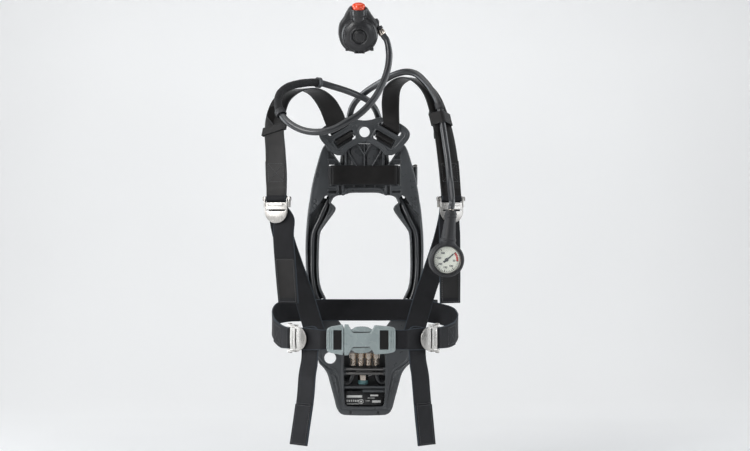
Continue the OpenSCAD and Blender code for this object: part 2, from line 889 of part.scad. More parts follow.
module gauge_boot() {
  color(rubber) at_gauge() difference() {
    union() {
      rotate([90, 0, 0]) translate([0, 0, -14]) rotate_extrude() polygon([
        [0, 0], [gauge_r - 5, 0], [gauge_r - 1.5, 2], [gauge_r, 6], [gauge_r, 23],
        [gauge_r - 2, 27], [gauge_r - 6, 29],
        [0, 29]
      ]);
      translate([0, 0, 24]) rotate_extrude() polygon([
        [0, 0], [16, 0], [14.2, 12], [15.4, 13], [15.4, 16], [14, 17], [12.6, 30],
        [10.6, 56], [11.6, 57], [11.6, 60],
        [10.6, 61], [11.6, 62], [11.6, 65], [10.2, 66], [10.2, boot_top - 24], [0, boot_top - 24]
      ]);
    }
    rotate([90, 0, 0]) translate([0, 0, -9]) cylinder(r = 27.2, h = 30);
    translate([0, 0, boot_top - 20]) cylinder(r = 5.6, h = 30);
  }
}

module gauge_case() {
  color(nickel) at_gauge() rotate([90, 0, 0]) translate([0, 0, -8.9]) difference() {
    cylinder(r = 27, h = 20.9);
    translate([0, 0, 3]) cylinder(r = 25.2, h = 30);
  }
}

module gauge_dial() {
  color([0.90, 0.93, 0.84]) at_gauge() rotate([90, 0, 0]) translate([0, 0, 3]) difference() {
    cylinder(r = dial_r + 1, h = 1);
    translate([0, 0, -1]) cylinder(r = 1.6, h = 3);
  }
}

module gauge_needle() {
  color([0.05, 0.05, 0.05]) at_gauge() rotate([90, 0, 0]) translate([0, 0, 2]) {
    cylinder(r = 1.5, h = 4);
    translate([0, 0, 2.5]) cylinder(r = 2.6, h = 1.2);
    translate([0, 0, 2.6]) rotate(45) linear_extrude(0.9)
      polygon([[-7, -1.4], [17, -0.5], [18, 0], [17, 0.5], [-7, 1.4]]);
  }
}

module gauge_lens() {
  color([0.85, 0.92, 0.95, 0.35]) at_gauge() rotate([90, 0, 0]) translate([0, 0, 8]) cylinder(r = 25, h = 2);
}

// ---------------------------------------------------------------- hoses

gauge_axis = [sin(gauge_lean), 0, cos(gauge_lean)];
gauge_inlet = gauge_centre + (boot_top + 1) * gauge_axis;

// Way of the left hose from its fitting to the top of the frame; the right one is its mirror image
lower_run = [
  [-24, 27, 100.5], [-24.5, 27, 84], [-32, 26, 67], [-45, 25.5, 68], [-52, 25, 86], [-52, 23, 112],
  [-52, 18, 140], [-54, 14.5, 165], [-65, 13, 194], [-84, 12, 222], [-97, 10.5, 243], [-103, 11, 263],
  [-107.3, 12.5, 292], [-108.5, 14.5, 325], [-107.5, 15.5, 372], [-99, 16, 406], [-85, 19, 434],
  [-68, 23, 456], [-55, 24, 474], [-48, 23, 504], [-41, 22, 545], [-34, 20, 582]
];

gauge_loop_at = 32;
gauge_hose_path = concat(lower_run, [
  [-31, 17, 612], [-25, 9, 634], [-12, -2, 651], [9, -19, 667], [34, -46, 680], [58, -66, 692],
  [82, -84, 697], [102, -97, 692], [118, -111, 677], [132.3, -127, 656], [147, -146.5, 623],
  [154.3, -164, 575], [162, -180, 517], [165, -198, 480], [166.5, -217, 456],
  gauge_inlet + 14 * gauge_axis, gauge_inlet + 7 * gauge_axis, gauge_inlet + 0.4 * gauge_axis
]);

valve_clip_at = 28;
valve_loop_at = 33;
valve_hose_path = concat([for (p = lower_run) [-p[0], p[1], p[2]]], [
  [29, 18, 610], [22, 8, 629], [9, -14, 644], [-12, -29, 654], [-36, -38, 663], [-64, -48, 671],
  [-92, -66, 677], [-120, -90, 674], [-146, -112, 666], [-163, -132, 652], [-168, -148, 632],
  [-162, -163, 609], [-145, -178, 589], [-120, -190, 575], [-93, -198, 570], [-64, -202, 574],
  [-35, -202, 588], [-8, -198, 605], [17, -192, 631], [34, -184, 660], [45, -174, 690],
  [49, -165, 718], [47.3, -159.5, 739], swivel_pos - 13 * swivel_dir,
  swivel_pos - 7 * swivel_dir, swivel_pos - 0.4 * swivel_dir
]);

module valve_hose() { color(rubber) tube(curve(valve_hose_path, 2), hose_r); }

module gauge_hose() { color(rubber) tube(curve(gauge_hose_path, 2), hose_r); }

// Stretch of the valve hose's path between two control points
function path_part(p, a, b) = [for (k = [a * 2:b * 2]) curve_at(p, k / 2)];

module hose_sleeve() {
  color([0.08, 0.08, 0.08]) difference() {
    tube(path_part(valve_hose_path, valve_clip_at, valve_loop_at), hose_r + 2.2);
    tube(path_part(valve_hose_path, valve_clip_at - 1, valve_loop_at + 1), hose_r + 0.5);
  }
}

module hose_ferrules() {
  color(nickel) {
    at_swivel() {
      cylinder(r = 7, h = 10);
      cylinder(r = 4.5, h = 23);
    }
    translate(gauge_centre) rotate([0, gauge_lean, 0]) translate([0, 0, boot_top - 19])
      cylinder(r = 5.4, h = 19.9);
  }
}

// Rubber band that holds a hose against the webbing, with its axis along dir
module band(pos, dir, r, h) {
  a = atan2(norm([dir[0], dir[1]]), dir[2]);
  translate(pos) rotate([0, a, atan2(dir[1], dir[0])]) difference() {
    cylinder(r = r + 1.8, h = h, center = true);
    cylinder(r = r, h = h + 2, center = true);
  }
}

// Direction of a path at one of its control points
function along(p, i) = unit(p[i + 1] - p[i - 1]);

module hose_loops() {
  color(rubber) {
    band(gauge_hose_path[gauge_loop_at], along(gauge_hose_path, gauge_loop_at), hose_r + 0.9, 14);
    band(valve_hose_path[valve_loop_at], along(valve_hose_path, valve_loop_at), hose_r + 2.9, 12);
  }
}

module hose_clip() {
  color(plastic) band(valve_hose_path[valve_clip_at], along(valve_hose_path, valve_clip_at), hose_r + 2.9, 9);
}

back_frame();
spine_ribs();
foot_bumper();
hip_supports();
frame_screws();
yoke_plate();
yoke_guides();
reducer_body();
reducer_cap();
mounting_rods();
rod_collars();
hose_fittings();
relief_valve();
relief_cap();
label_plate();
connector_stem();
handwheel();
connector_seal();
cylinder_strap();
strap_buckle_frame();
strap_buckle_pin();
strap_cam_lever();
shoulder_strap_left();
shoulder_strap_right();
lower_strap_left();
lower_strap_right();
adjuster_frames();
adjuster_pins();
shoulder_lever_left();
shoulder_lever_right();
waist_lever_left();
waist_lever_right();
waist_belt();
front_belt_left();
front_belt_right();
belt_tail_left();
belt_tail_right();
buckle_female();
buckle_male();
prong_upper();
prong_lower();
hose_clip();
hose_loops();
hose_sleeve();
valve_hose();
gauge_hose();
hose_ferrules();
valve_housing();
valve_cover();
valve_diaphragm();
purge_button();
reset_button();
swivel_nut();
plug_seal();
gauge_boot();
gauge_case();
gauge_dial();
gauge_needle();
gauge_lens();
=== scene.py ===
"""Looks of the breathing apparatus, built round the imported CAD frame. Lengths here are in millimetres."""

import json
import math
from functools import reduce
from itertools import product

import bmesh
import bpy
import numpy as np
from mathutils import Matrix, Vector


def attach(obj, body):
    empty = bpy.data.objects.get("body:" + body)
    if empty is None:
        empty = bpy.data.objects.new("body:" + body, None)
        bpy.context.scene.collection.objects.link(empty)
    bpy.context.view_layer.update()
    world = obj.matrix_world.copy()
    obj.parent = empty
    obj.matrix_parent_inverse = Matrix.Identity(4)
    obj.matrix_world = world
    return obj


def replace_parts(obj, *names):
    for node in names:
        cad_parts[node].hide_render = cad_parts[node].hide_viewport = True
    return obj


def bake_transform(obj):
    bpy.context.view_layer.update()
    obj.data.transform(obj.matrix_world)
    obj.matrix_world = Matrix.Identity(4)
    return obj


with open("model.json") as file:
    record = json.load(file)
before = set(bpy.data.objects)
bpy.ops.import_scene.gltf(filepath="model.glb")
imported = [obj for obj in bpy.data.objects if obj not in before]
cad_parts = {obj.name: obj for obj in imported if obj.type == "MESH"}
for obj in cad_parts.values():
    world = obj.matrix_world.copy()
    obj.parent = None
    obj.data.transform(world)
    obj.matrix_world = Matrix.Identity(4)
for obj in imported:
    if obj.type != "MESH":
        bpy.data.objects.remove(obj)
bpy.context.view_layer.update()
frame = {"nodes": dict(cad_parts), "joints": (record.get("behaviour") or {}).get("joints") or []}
joints = {j["name"]: j for j in frame["joints"]}


def joint_at(name):
    """Where a joint's axis passes, in mm."""
    return np.array(joints[name]["pos_m"]) * 1000


# ---------------------------------------------------------------- materials

class Shader:
    """One node material round a Principled shader. Coordinates are in metres, in the row frame."""

    def __init__(self, name, **values):
        self.mat = bpy.data.materials.new(name)
        self.mat.use_nodes = True
        self.tree = self.mat.node_tree
        self.bsdf = self.tree.nodes["Principled BSDF"]
        coords = self.node("ShaderNodeTexCoord")
        self.place, self.uv = coords.outputs["Object"], coords.outputs["UV"]
        for key, value in values.items():
            self.put(self.bsdf.inputs[key.replace("_", " ")], value)

    def put(self, socket, value):
        if isinstance(value, bpy.types.NodeSocket):
            self.tree.links.new(value, socket)
        elif isinstance(value, (tuple, list)) and socket.type == "RGBA" and len(value) == 3:
            socket.default_value = (*value, 1)
        else:
            socket.default_value = value

    def set(self, **values):
        for key, value in values.items():
            self.put(self.bsdf.inputs[key.replace("_", " ")], value)
        return self

    def node(self, kind, inputs=None, **settings):
        made = self.tree.nodes.new(kind)
        for key, value in settings.items():
            setattr(made, key, value)
        for key, value in (inputs or {}).items():
            self.put(made.inputs[key], value)
        return made

    def math(self, operation, a, b=0.0):
        return self.node("ShaderNodeMath", {0: a, 1: b}, operation=operation).outputs[0]

    def mul(self, a, b):
        return self.math("MULTIPLY", a, b)

    def add(self, a, b):
        return self.math("ADD", a, b)

    def sub(self, a, b):
        return self.math("SUBTRACT", a, b)

    def noise(self, scale, detail=2.0, stretch=(1, 1, 1), vector=None, rough=0.5):
        mapped = self.node(
            "ShaderNodeMapping", {"Vector": vector or self.place, "Scale": stretch}
        ).outputs[0]
        return self.node(
            "ShaderNodeTexNoise", {"Vector": mapped, "Scale": scale, "Detail": detail, "Roughness": rough}
        ).outputs["Fac"]

    def fit(self, value, low, high, to_low=0.0, to_high=1.0):
        return self.node(
            "ShaderNodeMapRange", {0: value, 1: low, 2: high, 3: to_low, 4: to_high}, clamp=True
        ).outputs[0]

    def blend(self, share, a, b):
        made = self.node("ShaderNodeMix", data_type="RGBA")
        for socket, value in zip((made.inputs[0], made.inputs[6], made.inputs[7]), (share, a, b)):
            self.put(socket, value)
        return made.outputs[2]

    def bump(self, height, depth_mm, normal=None):
        inputs = {"Height": height, "Distance": depth_mm / 1000, "Strength": 1.0}
        if normal is not None:
            inputs["Normal"] = normal
        return self.node("ShaderNodeBump", inputs).outputs[0]

    def edges(self, low=0.515, high=0.58):
        """Share of wear: 1 on outer edges, 0 on flats."""
        return self.fit(self.node("ShaderNodeNewGeometry").outputs["Pointiness"], low, high)


def tint(colour, factor):
    """Colour made darker or paler."""
    return tuple(min(1.0, c * factor) for c in colour)


def moulded(name, colour, rough=0.42, grain=0.05, wear=0.35, grain_size=0.55, coat=0.0):
    """Moulded plastic or rubber: fine spark-eroded grain, faint clouding, scuffed edges."""
    s = Shader(name, Coat_Weight=coat, Coat_Roughness=0.2)
    cloud = s.noise(22, 4)
    patch = s.fit(cloud, 0.3, 0.7)
    scuff = s.mul(s.edges(), s.fit(s.noise(160, 3), 0.35, 0.75))
    base = s.blend(patch, tint(colour, 0.86), tint(colour, 1.14))
    s.set(Base_Color=s.blend(s.mul(scuff, wear), base, tint(colour, 2.1)))
    s.set(Roughness=s.fit(s.noise(60, 5), 0.3, 0.75, rough - 0.06, rough + 0.09))
    fine = s.noise(1000 / grain_size, 1.5)
    wavy = s.noise(45, 1)
    s.set(Normal=s.bump(fine, grain, s.bump(wavy, 0.12)))
    return s.mat


def metal(name, colour, rough=0.2, brush=(1, 1, 1), brush_scale=900, streak=0.012, dents=0.05):
    """Plated or polished metal with fine scratches along one way."""
    s = Shader(name, Metallic=1.0)
    lines = s.noise(brush_scale, 3, brush)
    smudge = s.noise(70, 3)
    s.set(Base_Color=s.blend(s.fit(smudge, 0.35, 0.7), colour, tint(colour, 0.82)))
    s.set(
        Roughness=s.add(
            s.fit(lines, 0.3, 0.7, rough - 0.05, rough + 0.07), s.fit(smudge, 0.4, 0.7, 0, 0.06)
        )
    )
    s.set(Normal=s.bump(lines, streak, s.bump(s.noise(120, 1), dents)))
    return s.mat


def woven(name, colour, edge_highlight_colour, rib=2.2, pick=1.5, depth=0.16, rough=0.62, sheen=0.03):
    """Webbing: ribs along the strap crossed by alternating picks, painted darker between the yarns as
    painted shade, with a painted highlight along the selvedges.
    U is the way across from the middle and V the way along, both in metres."""
    s = Shader(
        name, Sheen_Weight=sheen, Sheen_Roughness=0.45, Sheen_Tint=(0.6, 0.64, 0.7), Specular_IOR_Level=0.22
    )
    split = s.node("ShaderNodeSeparateXYZ", {0: s.uv})
    u, v = split.outputs[0], split.outputs[1]
    column = s.math("DIVIDE", u, rib / 1000)
    across = s.sub(s.mul(s.math("FRACT", column), 2.0), 1.0)
    arch = s.sub(1.0, s.mul(across, across))
    shift = s.mul(s.math("FLOOR", column), 0.5)
    slant = s.mul(s.math("ABSOLUTE", across), 0.22)
    along = s.math("FRACT", s.add(s.add(s.math("DIVIDE", v, pick / 1000), shift), slant))
    tri = s.sub(s.mul(along, 2.0), 1.0)
    hump = s.sub(1.0, s.mul(tri, tri))
    yarn = s.mul(arch, s.fit(hump, 0, 1, 0.45, 1.0))
    fuzz = s.noise(2600, 2)
    far = s.math("ABSOLUTE", u)
    # mask of the selvedges, which get a paler colour: a painted highlight along the strap edges
    selvedge_highlight = s.fit(far, 0.0202, 0.0211)
    groove = s.mul(s.fit(far, 0.0190, 0.0196), s.fit(far, 0.0204, 0.0198))
    # colour darker in the hollows between yarns (painted shade), mixed with random fuzz tone
    yarn_shade_and_fuzz = s.add(s.mul(yarn, 0.6), s.mul(fuzz, 0.5))
    body = s.blend(s.fit(yarn_shade_and_fuzz, 0.15, 0.85), tint(colour, 0.55), tint(colour, 1.4))
    worn = s.blend(s.fit(s.noise(35, 4), 0.42, 0.7), body, s.blend(0.5, body, tint(colour, 1.9)))
    # the selvedges take the paler edge colour: a painted highlight
    s.set(Base_Color=s.blend(s.mul(selvedge_highlight, 0.85), worn, edge_highlight_colour))
    s.set(Roughness=s.fit(fuzz, 0.3, 0.7, rough - 0.1, rough + 0.12))
    height = s.sub(s.add(yarn, s.mul(fuzz, 0.25)), s.mul(groove, 0.8))
    s.set(Normal=s.bump(height, depth, s.bump(s.noise(30, 2), 0.35)))
    return s.mat


def hose_cover(name, colour):
    """Extruded rubber hose: satin skin, faint lines along it and a soft bloom."""
    s = Shader(name, Coat_Weight=0.7, Coat_Roughness=0.2, Coat_IOR=1.5)
    split = s.node("ShaderNodeSeparateXYZ", {0: s.uv})
    lines = s.node("ShaderNodeTexNoise", {"Scale": 1.0, "Detail": 3.0})
    scaled = s.node("ShaderNodeMapping", {"Vector": s.uv, "Scale": (1500, 12, 1)}).outputs[0]
    s.put(lines.inputs["Vector"], scaled)
    bloom = s.noise(18, 4)
    rings = s.math("SINE", s.mul(split.outputs[1], 2 * math.pi / 0.0016))
    s.set(Base_Color=s.blend(s.fit(bloom, 0.4, 0.75), tint(colour, 0.85), tint(colour, 1.5)))
    s.set(Roughness=s.fit(s.noise(90, 4), 0.3, 0.7, 0.3, 0.42))
    height = s.add(lines.outputs["Fac"], s.mul(rings, 0.12))
    s.set(Normal=s.bump(height, 0.035, s.bump(s.noise(55, 2), 0.15)))
    return s.mat


def sleeve_cloth(name, colour):
    """Braided sleeve: crossing diagonal yarns round the hose, with painted shade between the yarns. U is
    the turn, V the way along.
    """
    s = Shader(name, Sheen_Weight=0.12, Sheen_Roughness=0.4, Specular_IOR_Level=0.3)
    split = s.node("ShaderNodeSeparateXYZ", {0: s.uv})
    turn = s.mul(split.outputs[0], 1 / 0.0022)
    way = s.mul(split.outputs[1], 1 / 0.0022)
    a = s.math("SINE", s.mul(s.add(turn, way), math.pi))
    b = s.math("SINE", s.mul(s.sub(turn, way), math.pi))
    braid = s.math("MAXIMUM", s.math("ABSOLUTE", a), s.math("ABSOLUTE", b))
    # colour darker between the crossing yarns: painted shade
    s.set(Base_Color=s.blend(s.fit(braid, 0.5, 1), tint(colour, 0.5), tint(colour, 1.4)))
    s.set(Roughness=s.fit(s.noise(300, 2), 0.3, 0.7, 0.55, 0.75))
    s.set(Normal=s.bump(s.add(braid, s.mul(s.noise(2500, 2), 0.3)), 0.3))
    return s.mat


FRAME_PLASTIC = moulded("frame_plastic", (0.055, 0.059, 0.063), 0.32, 0.02, 0.5)
RIB_PLASTIC = moulded("rib_plastic", (0.05, 0.053, 0.057), 0.3, 0.02, 0.5)
SOFT_RUBBER = moulded("soft_rubber", (0.016, 0.016, 0.018), 0.5, 0.04, 0.25, 0.4)
GLOSS_RUBBER = moulded("gloss_rubber", (0.012, 0.012, 0.014), 0.24, 0.012, 0.2, 0.6, 0.2)
VALVE_PLASTIC = moulded("valve_plastic", (0.019, 0.019, 0.0205), 0.32, 0.02, 0.35, 0.5)
BUTTON_PLASTIC = moulded("button_plastic", (0.016, 0.016, 0.017), 0.28, 0.02, 0.3, 0.5)
BUCKLE_PLASTIC = moulded("buckle_plastic", (0.265, 0.31, 0.31), 0.26, 0.02, 0.35, 0.5)
RED_PLASTIC = moulded("red_plastic", (0.85, 0.075, 0.018), 0.16, 0.008, 0.05, 0.8, 0.6)
TEAL_PLASTIC = moulded("teal_plastic", (0.10, 0.21, 0.22), 0.35, 0.03, 0.2)
LABEL_PLASTIC = moulded("label_plate", (0.008, 0.008, 0.009), 0.25, 0.01, 0.1)
LABEL_WHITE = moulded("label_print", (0.62, 0.62, 0.60), 0.45, 0.01, 0.0)
STEEL = metal("polished_steel", (0.56, 0.54, 0.515), 0.27, (1, 1, 0.08), 900, 0.0025, 0.008)
NICKEL = metal("nickel_plate", (0.78, 0.69, 0.60), 0.17, (0.2, 0.2, 1), 700, 0.003, 0.01)
DARK_STEEL = metal("dark_steel", (0.20, 0.195, 0.19), 0.3, (0.05, 1, 1), 800, 0.004, 0.01)
# the last colour of each webbing is the painted highlight on its selvedges
WEBBING = woven("webbing", (0.009, 0.009, 0.0105), (0.035, 0.046, 0.058))
SATIN_WEBBING = woven(
    "satin_webbing", (0.012, 0.0112, 0.011), (0.028, 0.03, 0.032), 1.6, 1.2, 0.07, 0.38, 0.03
)
HOSE = hose_cover("hose_rubber", (0.015, 0.0165, 0.019))
SLEEVE = sleeve_cloth("hose_sleeve", (0.009, 0.009, 0.01))


def thread():
    """Sewing thread."""
    s = Shader("stitch_thread", Roughness=0.6, Sheen_Weight=0.3)
    s.set(
        Base_Color=s.blend(s.fit(s.noise(1500, 2), 0.3, 0.7), (0.022, 0.023, 0.026), (0.07, 0.072, 0.078))
    )
    s.set(Normal=s.bump(s.noise(4000, 1), 0.05))
    return s.mat


THREAD = thread()

# ---------------------------------------------------------------- mesh helpers

def unit(v):
    v = np.asarray(v, float)
    return v / np.linalg.norm(v, axis=-1, keepdims=True)


def piece(
    name, points, faces, material, body="root", uvs=None, angle=38, replaces=(), close=True
):
    """A mesh piece from points in mm. uvs holds one pair per face corner, in mm."""
    mesh = bpy.data.meshes.new(name)
    mesh.from_pydata((np.asarray(points, float) / 1000).tolist(), [], [tuple(map(int, f)) for f in faces])
    if uvs is not None:
        layer = mesh.uv_layers.new(name="way")
        layer.data.foreach_set("uv", (np.asarray(uvs, np.float32) / 1000).ravel())
    bm = bmesh.new()
    bm.from_mesh(mesh)
    if close:
        bmesh.ops.recalc_face_normals(bm, faces=bm.faces)
    for f in bm.faces:
        f.smooth = True
    for e in bm.edges:
        e.smooth = len(e.link_faces) != 2 or e.calc_face_angle(0) < math.radians(angle)
    bm.to_mesh(mesh)
    bm.free()
    obj = bpy.data.objects.new(name, mesh)
    bpy.context.scene.collection.objects.link(obj)
    mesh.materials.append(material)
    if body:
        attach(obj, body)
    if replaces:
        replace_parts(obj, *replaces)
    return obj


def bridge(rings, closed_along=False):
    """Faces between rings of m points each."""
    n, m = rings.shape[:2]
    faces = []
    for i in range(n if closed_along else n - 1):
        j = (i + 1) % n
        for k in range(m):
            q = (k + 1) % m
            faces.append((i * m + k, i * m + q, j * m + q, j * m + k))
    if not closed_along:
        faces.append(tuple(range(m))[::-1])
        faces.append(tuple((n - 1) * m + k for k in range(m)))
    return faces


def curve(rows, per):
    """The smooth curve the CAD source runs through its control rows."""
    rows = np.asarray(rows, float)
    last = len(rows) - 2
    out = []
    for k in range((len(rows) - 1) * per + 1):
        i = min(k // per, last)
        f = k / per - i
        a, b, c, d = rows[max(i - 1, 0)], rows[i], rows[i + 1], rows[min(i + 2, last + 1)]
        out.append(
            0.5 * (
                2 * b + (c - a) * f + (2 * a - 5 * b + 4 * c - d) * f * f + (3 * b - a - 3 * c + d) * f**3
            )
        )
    return np.array(out)


def tangents(p):
    ahead, behind = np.roll(p, -1, 0), np.roll(p, 1, 0)
    ahead[-1], behind[0] = p[-1], p[0]
    return unit(ahead - behind)


def lengths(p):
    """Way along a path at each point."""
    return np.concatenate([[0], np.cumsum(np.linalg.norm(np.diff(p, axis=0), axis=1))])


SECTION = [(-1, 0), (-0.99, 0.62), (-0.958, 1.14), (-0.925, 1.05), (-0.905, 0.86), (-0.88, 1)] + [
    (a, 1) for a in (-0.6, -0.3, 0, 0.3, 0.6)
]
SECTION += [(-a, b) for a, b in SECTION[5::-1]]
SECTION = np.array(SECTION + [(a, -b) for a, b in SECTION[-2:0:-1]])


def strap_curve(rows, per=8):
    """Middle line, half-width vectors and normals of a strap given as rows x, y, z, sx, sy, sz."""
    c = curve(rows, per)
    p, s = c[:, :3], c[:, 3:6]
    return p, s, unit(np.cross(tangents(p), s))


def strap(name, rows, material=None, body="root", thick=2.2, per=8, ripple=0.35, replaces=(), start=0.0):
    """Webbing along control rows, with raised selvedges, a slight crown and a few soft waves."""
    p, s, n = strap_curve(rows, per)
    way = lengths(p) + start
    wave = ripple * (np.sin(way / 31 + len(name)) + 0.6 * np.sin(way / 13.7 + 1.3 * len(name)))
    fade = np.clip(np.minimum(way - start, way[-1] - way) / 40, 0, 1)
    rings = []
    for i in range(len(p)):
        a, b = SECTION[:, :1], SECTION[:, 1:]
        crown = 0.35 * (1 - a * a) * fade[i]
        rings.append(p[i] + a * s[i] + (b * thick / 2 + wave[i] * fade[i] * 0.5 + crown) * n[i])
    rings = np.array(rings)
    m = len(SECTION)
    faces = bridge(rings)
    u = SECTION[:, 0] * 22
    uvs = []
    for i in range(len(p) - 1):
        for k in range(m):
            q = (k + 1) % m
            uvs += [(u[k], way[i]), (u[q], way[i]), (u[q], way[i + 1]), (u[k], way[i + 1])]
    uvs += [(u[k], way[0]) for k in range(m)][::-1] + [(u[k], way[-1]) for k in range(m)]
    return piece(name, rings.reshape(-1, 3), faces, material or WEBBING, body, uvs, 50, replaces)


def frames_along(p):
    """Directions that don't twist along a path."""
    t = tangents(p)
    n = unit(np.cross(t[0], [0.31, 0.95, 0.11]))
    out = []
    for i in range(len(p)):
        n = unit(n - (n @ t[i]) * t[i])
        out.append((n, np.cross(t[i], n)))
    return out


def tube(name, p, radius, material, body="root", sides=24, replaces=()):
    """Round tube along a path; radius is one number or one for each point."""
    p = np.asarray(p, float)
    r = np.broadcast_to(radius, len(p))
    turn = np.arange(sides) * 2 * math.pi / sides
    rings = np.array(
        [
            p[i] + r[i] * (np.outer(np.cos(turn), n) + np.outer(np.sin(turn), b))
            for i, (n, b) in enumerate(frames_along(p))
        ]
    )
    way = lengths(p)
    round_way = np.arange(sides + 1) * 2 * math.pi * float(r.max()) / sides
    uvs = []
    for i in range(len(p) - 1):
        for k in range(sides):
            uvs += [
                (round_way[k], way[i]), (round_way[k + 1], way[i]), (round_way[k + 1], way[i + 1]),
                (round_way[k], way[i + 1])
            ]
    uvs += [(0, 0)] * (2 * sides)
    return piece(name, rings.reshape(-1, 3), bridge(rings), material, body, uvs, 50, replaces)


def place(origin, *turns):
    """Matrix that turns by (degrees, axis) pairs, first one last, and then moves to origin."""
    m = Matrix.Translation(Vector(origin))
    for degrees, axis in turns:
        m = m @ Matrix.Rotation(math.radians(degrees), 4, axis)
    return np.array(m)


def moved(matrix, points):
    """Points carried by a matrix."""
    points = np.asarray(points, float)
    return points @ matrix[:3, :3].T + matrix[:3, 3]


def lathe(name, profile, matrix, material, body="root", segments=96, replaces=(), angle=38):
    """Turned solid about local Z. profile is a closed list of (radius, height)."""
    profile = np.array(profile, float)
    turn = np.arange(segments) * 2 * math.pi / segments
    rings = np.array(
        [
            np.stack([profile[:, 0] * math.cos(a), profile[:, 0] * math.sin(a), profile[:, 1]], 1)
            for a in turn
        ]
    )
    points = moved(matrix, rings.reshape(-1, 3))
    obj = piece(name, points, bridge(rings, closed_along=True), material, body, None, angle, replaces)
    bm = bmesh.new()
    bm.from_mesh(obj.data)
    bmesh.ops.remove_doubles(bm, verts=bm.verts, dist=1e-6)
    bmesh.ops.dissolve_degenerate(bm, edges=bm.edges, dist=1e-6)
    bm.to_mesh(obj.data)
    bm.free()
    return obj


BEVEL_ANGLE, FLAT_ANGLE, WELD = 30, 0.5, 1e-6


def hard(node, material, width, segments):
    """Keeps a CAD node, with its edges rounded by modifiers and a proper finish."""
    obj = frame["nodes"][node]
    weld = obj.modifiers.new("weld", "WELD")
    weld.merge_threshold = WELD
    flat = obj.modifiers.new("flat", "DECIMATE")
    flat.decimate_type = "DISSOLVE"
    flat.angle_limit = math.radians(FLAT_ANGLE)
    if width:
        bevel = obj.modifiers.new("bevel", "BEVEL")
        bevel.width = width / 1000
        bevel.segments = segments
        bevel.limit_method = "ANGLE"
        bevel.angle_limit = math.radians(BEVEL_ANGLE)
        bevel.harden_normals = True
        bevel.miter_outer = "MITER_ARC"
    for p in obj.data.polygons:
        p.use_smooth = True
    obj.data.materials.clear()
    obj.data.materials.append(material)
    return obj


# ---------------------------------------------------------------- webbing

SIDES = {"left": -1, "right": 1}
EDGE, SHOULDER_HALF = 22.0, 20
SHOULDER_TURN, WAIST_TURN, BAR_DROP = 15, 40, 13
shoulder = {k: place(joint_at(f"shoulder_{k}_lift"), (s * SHOULDER_TURN, "Z")) for k, s in SIDES.items()}
waist = {
    k: place(joint_at(f"waist_{k}_lift"), (s * WAIST_TURN, "Z"), (s * 90, "Y")) for k, s in SIDES.items()
}


def local_rows(matrix, points, half):
    """Strap rows from (y, z) pairs in an adjuster's own frame."""
    across = matrix[:3, 0] * half
    return [[*moved(matrix, [0, y, z]), *across] for y, z in points]


def pin_turn(radius, y0=0.0, z0=0.0, steps=7, start=0, end=180):
    """(y, z) pairs round a pin, from behind it, underneath, to its front."""
    return [
        (y0 + radius * math.cos(math.radians(a)), z0 - radius * math.sin(math.radians(a)))
        for a in np.linspace(start, end, steps)
    ]


TURN_R = 4.5


def sewn_end(rows, matrix, half, length):
    """Rows that carry a strap round its pin and back over itself, and the sheet for its stitches."""
    p, s, n = strap_curve(rows, 8)
    back = lengths(p)[-1] - lengths(p)
    sign = np.sign(n[-1] @ -matrix[:3, 1])
    turn = local_rows(matrix, pin_turn(TURN_R), half)
    if np.dot(s[-1], matrix[:3, 0]) < 0:
        turn = [[*r[:3], *(-np.array(r[3:]))] for r in turn]
    lift = []
    for d in np.linspace(14, length, 6):
        i = int(np.argmin(abs(back - d)))
        lift.append([*(p[i] + sign * n[i] * 2.45), *s[i]])
    return turn + lift, (p, s, n * sign, back)


STITCH = [(-1, 0.12), (-0.7, 0.38), (0, 0.48), (0.7, 0.38), (1, 0.12)]


def stitches(line, ups, pitch=3.4, size=2.3):
    """A row of sewn stitches along points on a surface, as small thread humps."""
    way = lengths(line)
    count = max(1, int(way[-1] / pitch))
    points, faces = [], []
    for c in range(count):
        d = (c + 0.5) * way[-1] / count
        before, mid, after = (
            np.array([np.interp(d + shift, way, line[:, a]) for a in range(3)]) for shift in (
                -size / 2, 0, size / 2
            )
        )
        t = unit(after - before)
        n = ups[min(len(ups) - 1, int(d / way[-1] * len(ups)))]
        n = unit(n - (n @ t) * t)
        b = np.cross(t, n)
        rings = []
        for f, r in STITCH:
            centre = mid + t * f * size / 2 + n * (0.28 * (1 - f * f))
            rings.append(
                [centre + r * (math.cos(a) * n * 0.9 + math.sin(a) * b) for a in np.arange(6) * math.pi / 3]
            )
        rings = np.array(rings)
        base = len(points)
        points += rings.reshape(-1, 3).tolist()
        faces += [tuple(base + v for v in f) for f in bridge(rings)]
    return points, faces


def sew(name, sheet, runs, lift):
    """Stitch lines on a strap. runs holds pairs of (across, along) in mm, along from its end."""
    p, s, n, back = sheet
    order = np.argsort(back)

    def at(u, d):
        pos, side, up = (
            np.array([np.interp(d, back[order], v[order, a]) for a in range(3)]) for v in (p, s, n)
        )
        return pos + unit(side) * u + unit(up) * lift, unit(up)

    points, faces = [], []
    for (u0, d0), (u1, d1) in runs:
        steps = max(2, int(math.hypot(u1 - u0, d1 - d0) / 2))
        samples = [at(u0 + (u1 - u0) * f, d0 + (d1 - d0) * f) for f in np.linspace(0, 1, steps)]
        more, quads = stitches(*(np.array(v) for v in zip(*samples)))
        faces += [tuple(len(points) + v for v in f) for f in quads]
        points += more
    return piece(name, points, faces, THREAD, "root", None, 80)


def frame_stitch(u, d0, d1):
    """Rectangle of stitches."""
    corners = [(-u, d0), (u, d0), (u, d1), (-u, d1), (-u, d0)]
    return list(zip(corners, corners[1:]))


def box_stitch(u, d0, d1):
    """Rectangle with a cross inside."""
    return frame_stitch(u, d0, d1) + [((-u, d0), (u, d1)), ((u, d0), (-u, d1))]


UPPER_SLOT, SLOT_LEAN = (53, 588), math.radians(30)
SLOT_WEAVE = [
    (-23.7, -7.5), (-21.2, -4.4), (-16.7, -2.2), (-4.7, -2.2), (-0.9, -4.2), (0.1, -8.8), (4.1, -11.6)
]


